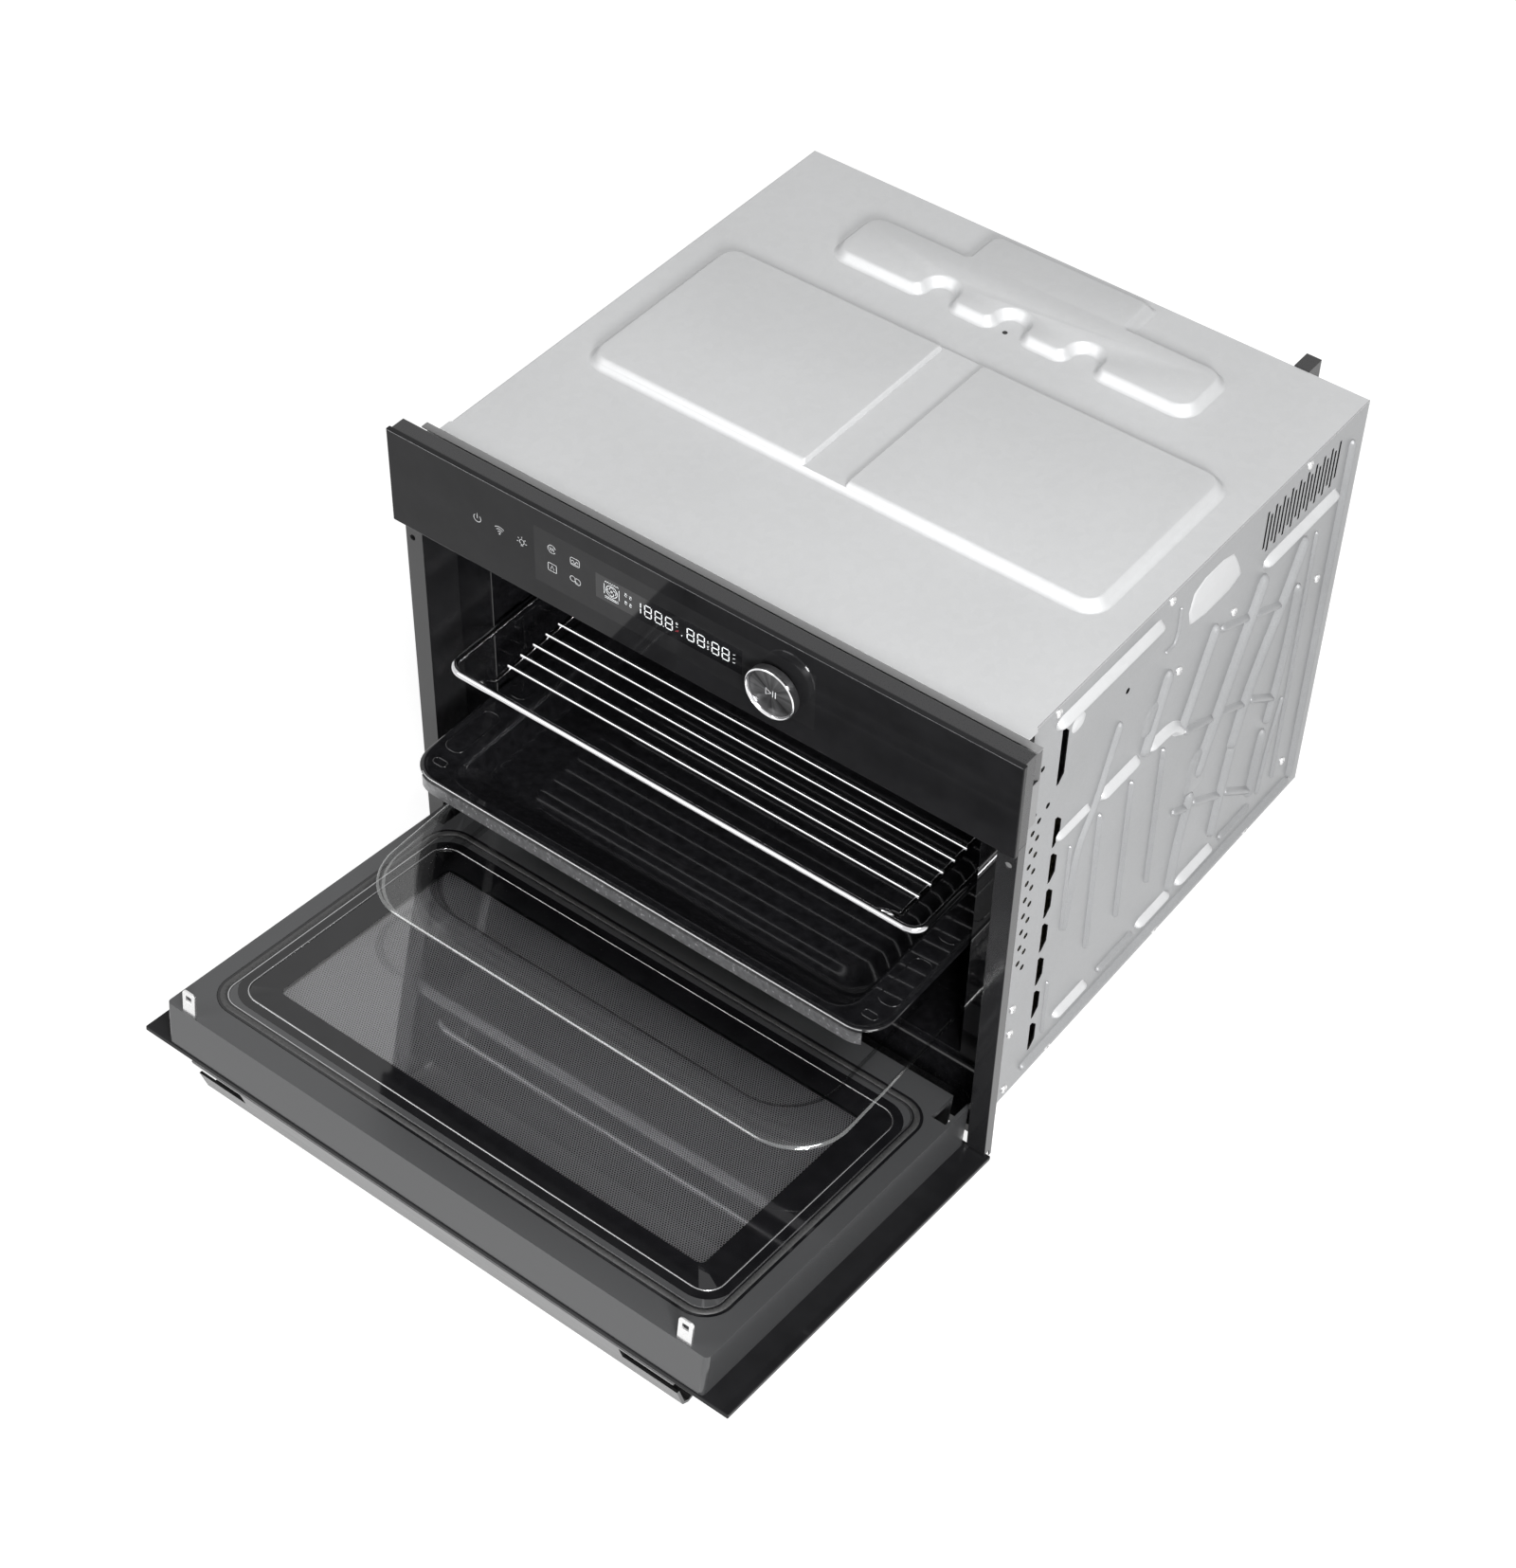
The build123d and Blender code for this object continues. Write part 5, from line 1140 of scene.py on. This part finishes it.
def make_tray():
    """Enamel pan with a flat rim and a rolled edge."""
    half, depth, (floor, top) = box_sizes(*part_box("baking_tray"))
    base = floor + TRAY_WALL
    rim = top - TRAY_RIM
    under = rim - TRAY_WALL
    tray = Shape()
    profile = [
        (150.0, 120.0, base, 30.0), (60.0, 62.0, base, 30.0), (46.0, 50.0, base, 24.0),
        (42.0, 44.0, base + 1.0, 22.0), (40.4, 40.0, base + 3.6, 21.0),
        (36.0, 18.0, rim - 4.4, 20.0), (35.0, 14.0, rim - 2.0, 20.0), (33.0, 11.5, rim - 0.4, 21.0),
        (31.0, 9.5, rim, 22.0), (7.0, 5.5, rim, 24.0), (5.0, 4.2, rim + 0.3, 25.0),
        (3.4, 3.0, top, 26.0), (1.6, 1.6, top - 0.1, 26.5), (0.4, 0.4, top - 0.6, TRAY_CORNER),
        (0.0, 0.0, top - 1.2, TRAY_CORNER), (0.5, 0.5, top - 1.6, TRAY_CORNER),
        (7.0, 5.5, under, 24.0), (32.0, 11.0, under, 21.5), (35.0, 13.5, under - 1.0, 20.5),
        (36.6, 16.5, under - 3.0, 20.0), (41.4, 41.5, base + 2.6, 21.0),
        (43.0, 45.0, floor + 0.6, 22.5), (47.0, 51.0, floor, 24.5), (150.0, 120.0, floor, 30.0),
    ]
    pan_rings(tray, half, depth, profile)
    tray.build("enamel_tray", "tray", [MATERIALS["enamel"]], ["baking_tray"], 50)
    make_tray_lip(half, depth[0], top)
    make_tray_embosses(half, depth, rim)


# Strips of the tray's front edge: near and far inset, drop of the upper and the lower side. The lower strip
# carries a painted reflection
LIP_STRIPS = ((1.4, 2.4, 1.4, 6.0), (0.2, 1.4, 4.4, 16.5))
LIP_HIGHLIGHT_ROD = 0.7


def make_tray_lip(half, front, top):
    """Turned-down front edge under the tray's rim, led a little round its corners, with a painted reflection on
    its lower strip and a painted highlight rod on its rim.
    """
    middle = half - TRAY_CORNER

    def edge(inset):
        left = arc(-middle, front + TRAY_CORNER, TRAY_CORNER - inset, 240, 270, 6)
        return left + arc(middle, front + TRAY_CORNER, TRAY_CORNER - inset, 270, 300, 6)
    lip = Shape()
    for near, far, high, low in LIP_STRIPS:
        rings = [[at(*one, top - low), at(*two, top - low), at(*two, top - high), at(*one, top - high)]
                 for one, two in zip(edge(near), edge(far))]
        lip.loft(rings)
        lip.mark += 1
    # Thin rod along the rim: painted highlight line
    lip.tube([at(*one, top - 0.75) for one in edge(1.2)], LIP_HIGHLIGHT_ROD * MM)
    lip.build("tray_lip", "tray", [MATERIALS["enamel"], PAINTED_SHEEN, PAINTED_HIGHLIGHT_EDGE], (), 60)


EMBOSS_INNER = 25.0
SLOT_OUTER = 12.0
SLOT_DEPTH = (18.0, 25.0)
SLOT_CORNER = 3.0
GRIP_OUTER = 7.0
GRIP_FIRST = 37.0
GRIP_LENGTH = 55.0
GRIP_STEP = 80.0
GRIP_LAST = 70.0
GRIP_CORNER = 7.0


def make_tray_embosses(half, depth, level):
    """Raised outlines round the rim's slots and grip recesses."""
    embosses = Shape()
    front, back = depth
    inner = half - EMBOSS_INNER
    fields = [((inner, half - SLOT_OUTER), [front + run for run in SLOT_DEPTH], SLOT_CORNER)]
    start = front + GRIP_FIRST
    while start < back - GRIP_LAST:
        fields.append(((inner, half - GRIP_OUTER), (start, start + GRIP_LENGTH), GRIP_CORNER))
        start += GRIP_STEP
    for side in (1, -1):
        for u, v, corner in fields:
            rings = []
            for inset, height in ((-0.9, -0.3), (-0.5, 0.35), (0.5, 0.35), (0.9, -0.3)):
                flat = outline(drawn_in(u, inset), drawn_in(v, inset), corner - inset, 5)
                rings.append([at(side * x, run, level + height) for x, run in flat])
            embosses.loft(rings, loop=True)
    embosses.build("tray_embosses", "tray", [MATERIALS["enamel"]], (), 60)


DISH_WALL = 5.0

# Strips of the dish's profile with painted highlight at its edge, and those with painted shade
DISH_HIGHLIGHT_ROWS = (3, 9, 10, 12, 13)
DISH_SHADE_ROWS = (4, 17)


def make_dish():
    """Clear pan with a wide rim and round corners. Its rows are inset, height and corner."""
    half, depth, (floor, top) = box_sizes(*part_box("glass_tray"))
    base = floor + DISH_WALL
    dish = Shape()
    rows = (
        (110.0, base, 60.0), (52.0, base, 52.0), (41.0, base, 52.0), (36.5, base + 0.9, 52.5),
        (34.0, base + 3.0, 53.0), (29.5, top - 2.6, 53.5), (27.0, top - 0.8, 54.0),
        (23.0, top - 0.2, 54.0), (5.0, top, 52.0), (1.8, top - 0.5, 52.0), (0.3, top - 1.6, 52.0),
        (0.0, top - 2.6, 52.0), (0.6, top - 4.0, 52.0), (2.2, top - 4.8, 52.0), (5.0, top - 5.0, 52.0),
        (25.0, top - 5.2, 53.5), (30.5, top - 6.2, 53.5), (34.5, top - 8.4, 53.0),
        (38.0, floor + 2.4, 52.5), (40.5, floor + 0.6, 52.0), (44.0, floor, 52.0), (110.0, floor, 60.0),
    )
    profile = [(inset, inset, z, corner) for inset, z, corner in rows]
    pan_rings(dish, half, depth, profile, 14, DISH_HIGHLIGHT_ROWS, DISH_SHADE_ROWS)
    looks = [MATERIALS["clear_glass"], GLASS_HIGHLIGHT, GLASS_SHADE]
    dish.build("clear_dish", "dish", looks, ["glass_tray"], 60)


# CAD nodes: each gets a finish, and the hard-edged ones a small edge round

WELD = 0.00001
HARD_EDGE = 40
ROUNDED = {
    "door_frame": 0.9, "control_panel_glass": 0.7, "control_panel_carrier": 0.6, "door_outer_glass": 0.7,
    "front_plate": 0.3, "front_flange_right": 0.3, "front_flange_left": 0.3, "panel_support": 0.3,
    "latch_hooks": 0.4, "hinge_arm_right": 0.4, "hinge_arm_left": 0.4, "hinge_bracket_right": 0.4,
    "hinge_bracket_left": 0.4, "rear_spacer": 0.6, "shelf_rails_right": 0.8, "shelf_rails_left": 0.8,
}
# The side panels take the side sheet, whose darker tone is painted shade
OWN_FINISH = {
    "side_panel_right": SIDE_SHEET_PAINTED_SHADE, "side_panel_left": SIDE_SHEET_PAINTED_SHADE, "door_handle": HANDLE_BAR,
    "panel_support": STRIP_SHEET,
}


def dress_nodes():
    slots = {part["node"]: part["material_slot"] for part in frame["record"]["subparts"]}
    for name, node in frame["nodes"].items():
        node.data.materials.clear()
        node.data.materials.append(OWN_FINISH.get(name) or MATERIALS[slots[name]])
        if name in ROUNDED:
            weld = node.modifiers.new("weld", "WELD")
            weld.merge_threshold = WELD
            edge = node.modifiers.new("edge", "BEVEL")
            edge.width = ROUNDED[name] * MM
            edge.segments = 2
            edge.limit_method = "ANGLE"
            edge.angle_limit = radians(HARD_EDGE)


# Stage

FLOOR_HALF = 12.0
FLOOR_GREY = (0.35, 0.35, 0.35, 1.0)
FLOOR_GLOW = 0.88
WORLD_DIM = 0.12
WHITE = (1.0, 1.0, 1.0, 1.0)


def show(graph, lit, seen, output):
    """One shader for the camera, mirrors and glass, another for the light that falls on surfaces."""
    path = graph.node("LightPath").outputs
    eye = graph.combine("MAXIMUM", path["Is Camera Ray"], path["Is Glossy Ray"])
    mix = graph.node("MixShader")
    graph.link(graph.combine("MAXIMUM", eye, path["Is Transmission Ray"]), mix, "Fac")
    graph.link(lit, mix, 1)
    graph.link(seen, mix, 2)
    graph.link(mix.outputs["Shader"], graph.nodes[output], "Surface")


def make_floor():
    """Grey floor that looks white."""
    graph = material("floor")
    graph.nodes.remove(graph.shader)
    matt = graph.node("BsdfDiffuse", Color=FLOOR_GREY).outputs["BSDF"]
    glow = graph.node("Emission", Strength=FLOOR_GLOW).outputs["Emission"]
    seen = graph.node("AddShader")
    graph.link(matt, seen, 0)
    graph.link(glow, seen, 1)
    show(graph, matt, seen.outputs["Shader"], "Material Output")
    low = CAD_BOX[0].z
    corners = [(x * FLOOR_HALF, y * FLOOR_HALF, low) for x, y in ((-1, -1), (1, -1), (1, 1), (-1, 1))]
    mesh = bpy.data.meshes.new("floor")
    mesh.from_pydata(corners, [], [(0, 1, 2, 3)])
    mesh.materials.append(graph.owner)
    floor = put("floor", mesh)


def make_world():
    """White to look at, dim as a light."""
    world = bpy.data.worlds.new("studio")
    SCENE.world = world
    graph = Graph(world)
    dim = graph.nodes["Background"]
    fill(dim, Color=WHITE, Strength=WORLD_DIM)
    white = graph.node("Background", Color=WHITE, Strength=1.0)
    show(graph, dim.outputs["Background"], white.outputs["Background"], "World Output")


# Lamps: name, place, size and power
LAMPS = (
    ("key", (2.1, -2.1, 1.65), 0.8, 100.0),
    ("top", (1.9, -0.9, 3.9), 1.4, 83.0),
    ("left", (-1.4, -2.4, 1.9), 1.6, 24.0),
)
LAMP_TARGET = Vector((0.0, 0.0, 0.2))


def make_lamp(name, place, size, power):
    """Square lamp that faces the oven."""
    lamp = bpy.data.lights.new(name, "AREA")
    lamp.size = size
    lamp.energy = power
    thing = put(name, lamp)
    thing.location = place
    thing.rotation_euler = (LAMP_TARGET - Vector(place)).to_track_quat("-Z", "Y").to_euler()


def make_camera():
    data = bpy.data.cameras.new("camera")
    data.lens = CAMERA_LENS
    data.sensor_width = CAMERA_SENSOR
    forward = Vector(CAMERA_FORWARD).normalized()
    right = Vector(CAMERA_RIGHT)
    right = (right - forward * right.dot(forward)).normalized()
    up = right.cross(forward)
    turn = Matrix((right, up, -forward)).transposed().to_4x4()
    camera = put("camera", data)
    camera.matrix_world = Matrix.Translation(CAMERA_PLACE) @ turn
    SCENE.camera = camera


dress_nodes()
make_top_cover()
make_side_ribs("side_ribs_right", 1)
make_side_ribs("side_ribs_left", -1)
make_rear_ribs()
make_screws()
make_panel_print()
make_knob()
make_gasket()
make_pane()
make_rack()
make_tray()
make_dish()
make_floor()
make_world()
for lamp in LAMPS:
    make_lamp(*lamp)
make_camera()
SCENE.view_settings.view_transform = "Standard"
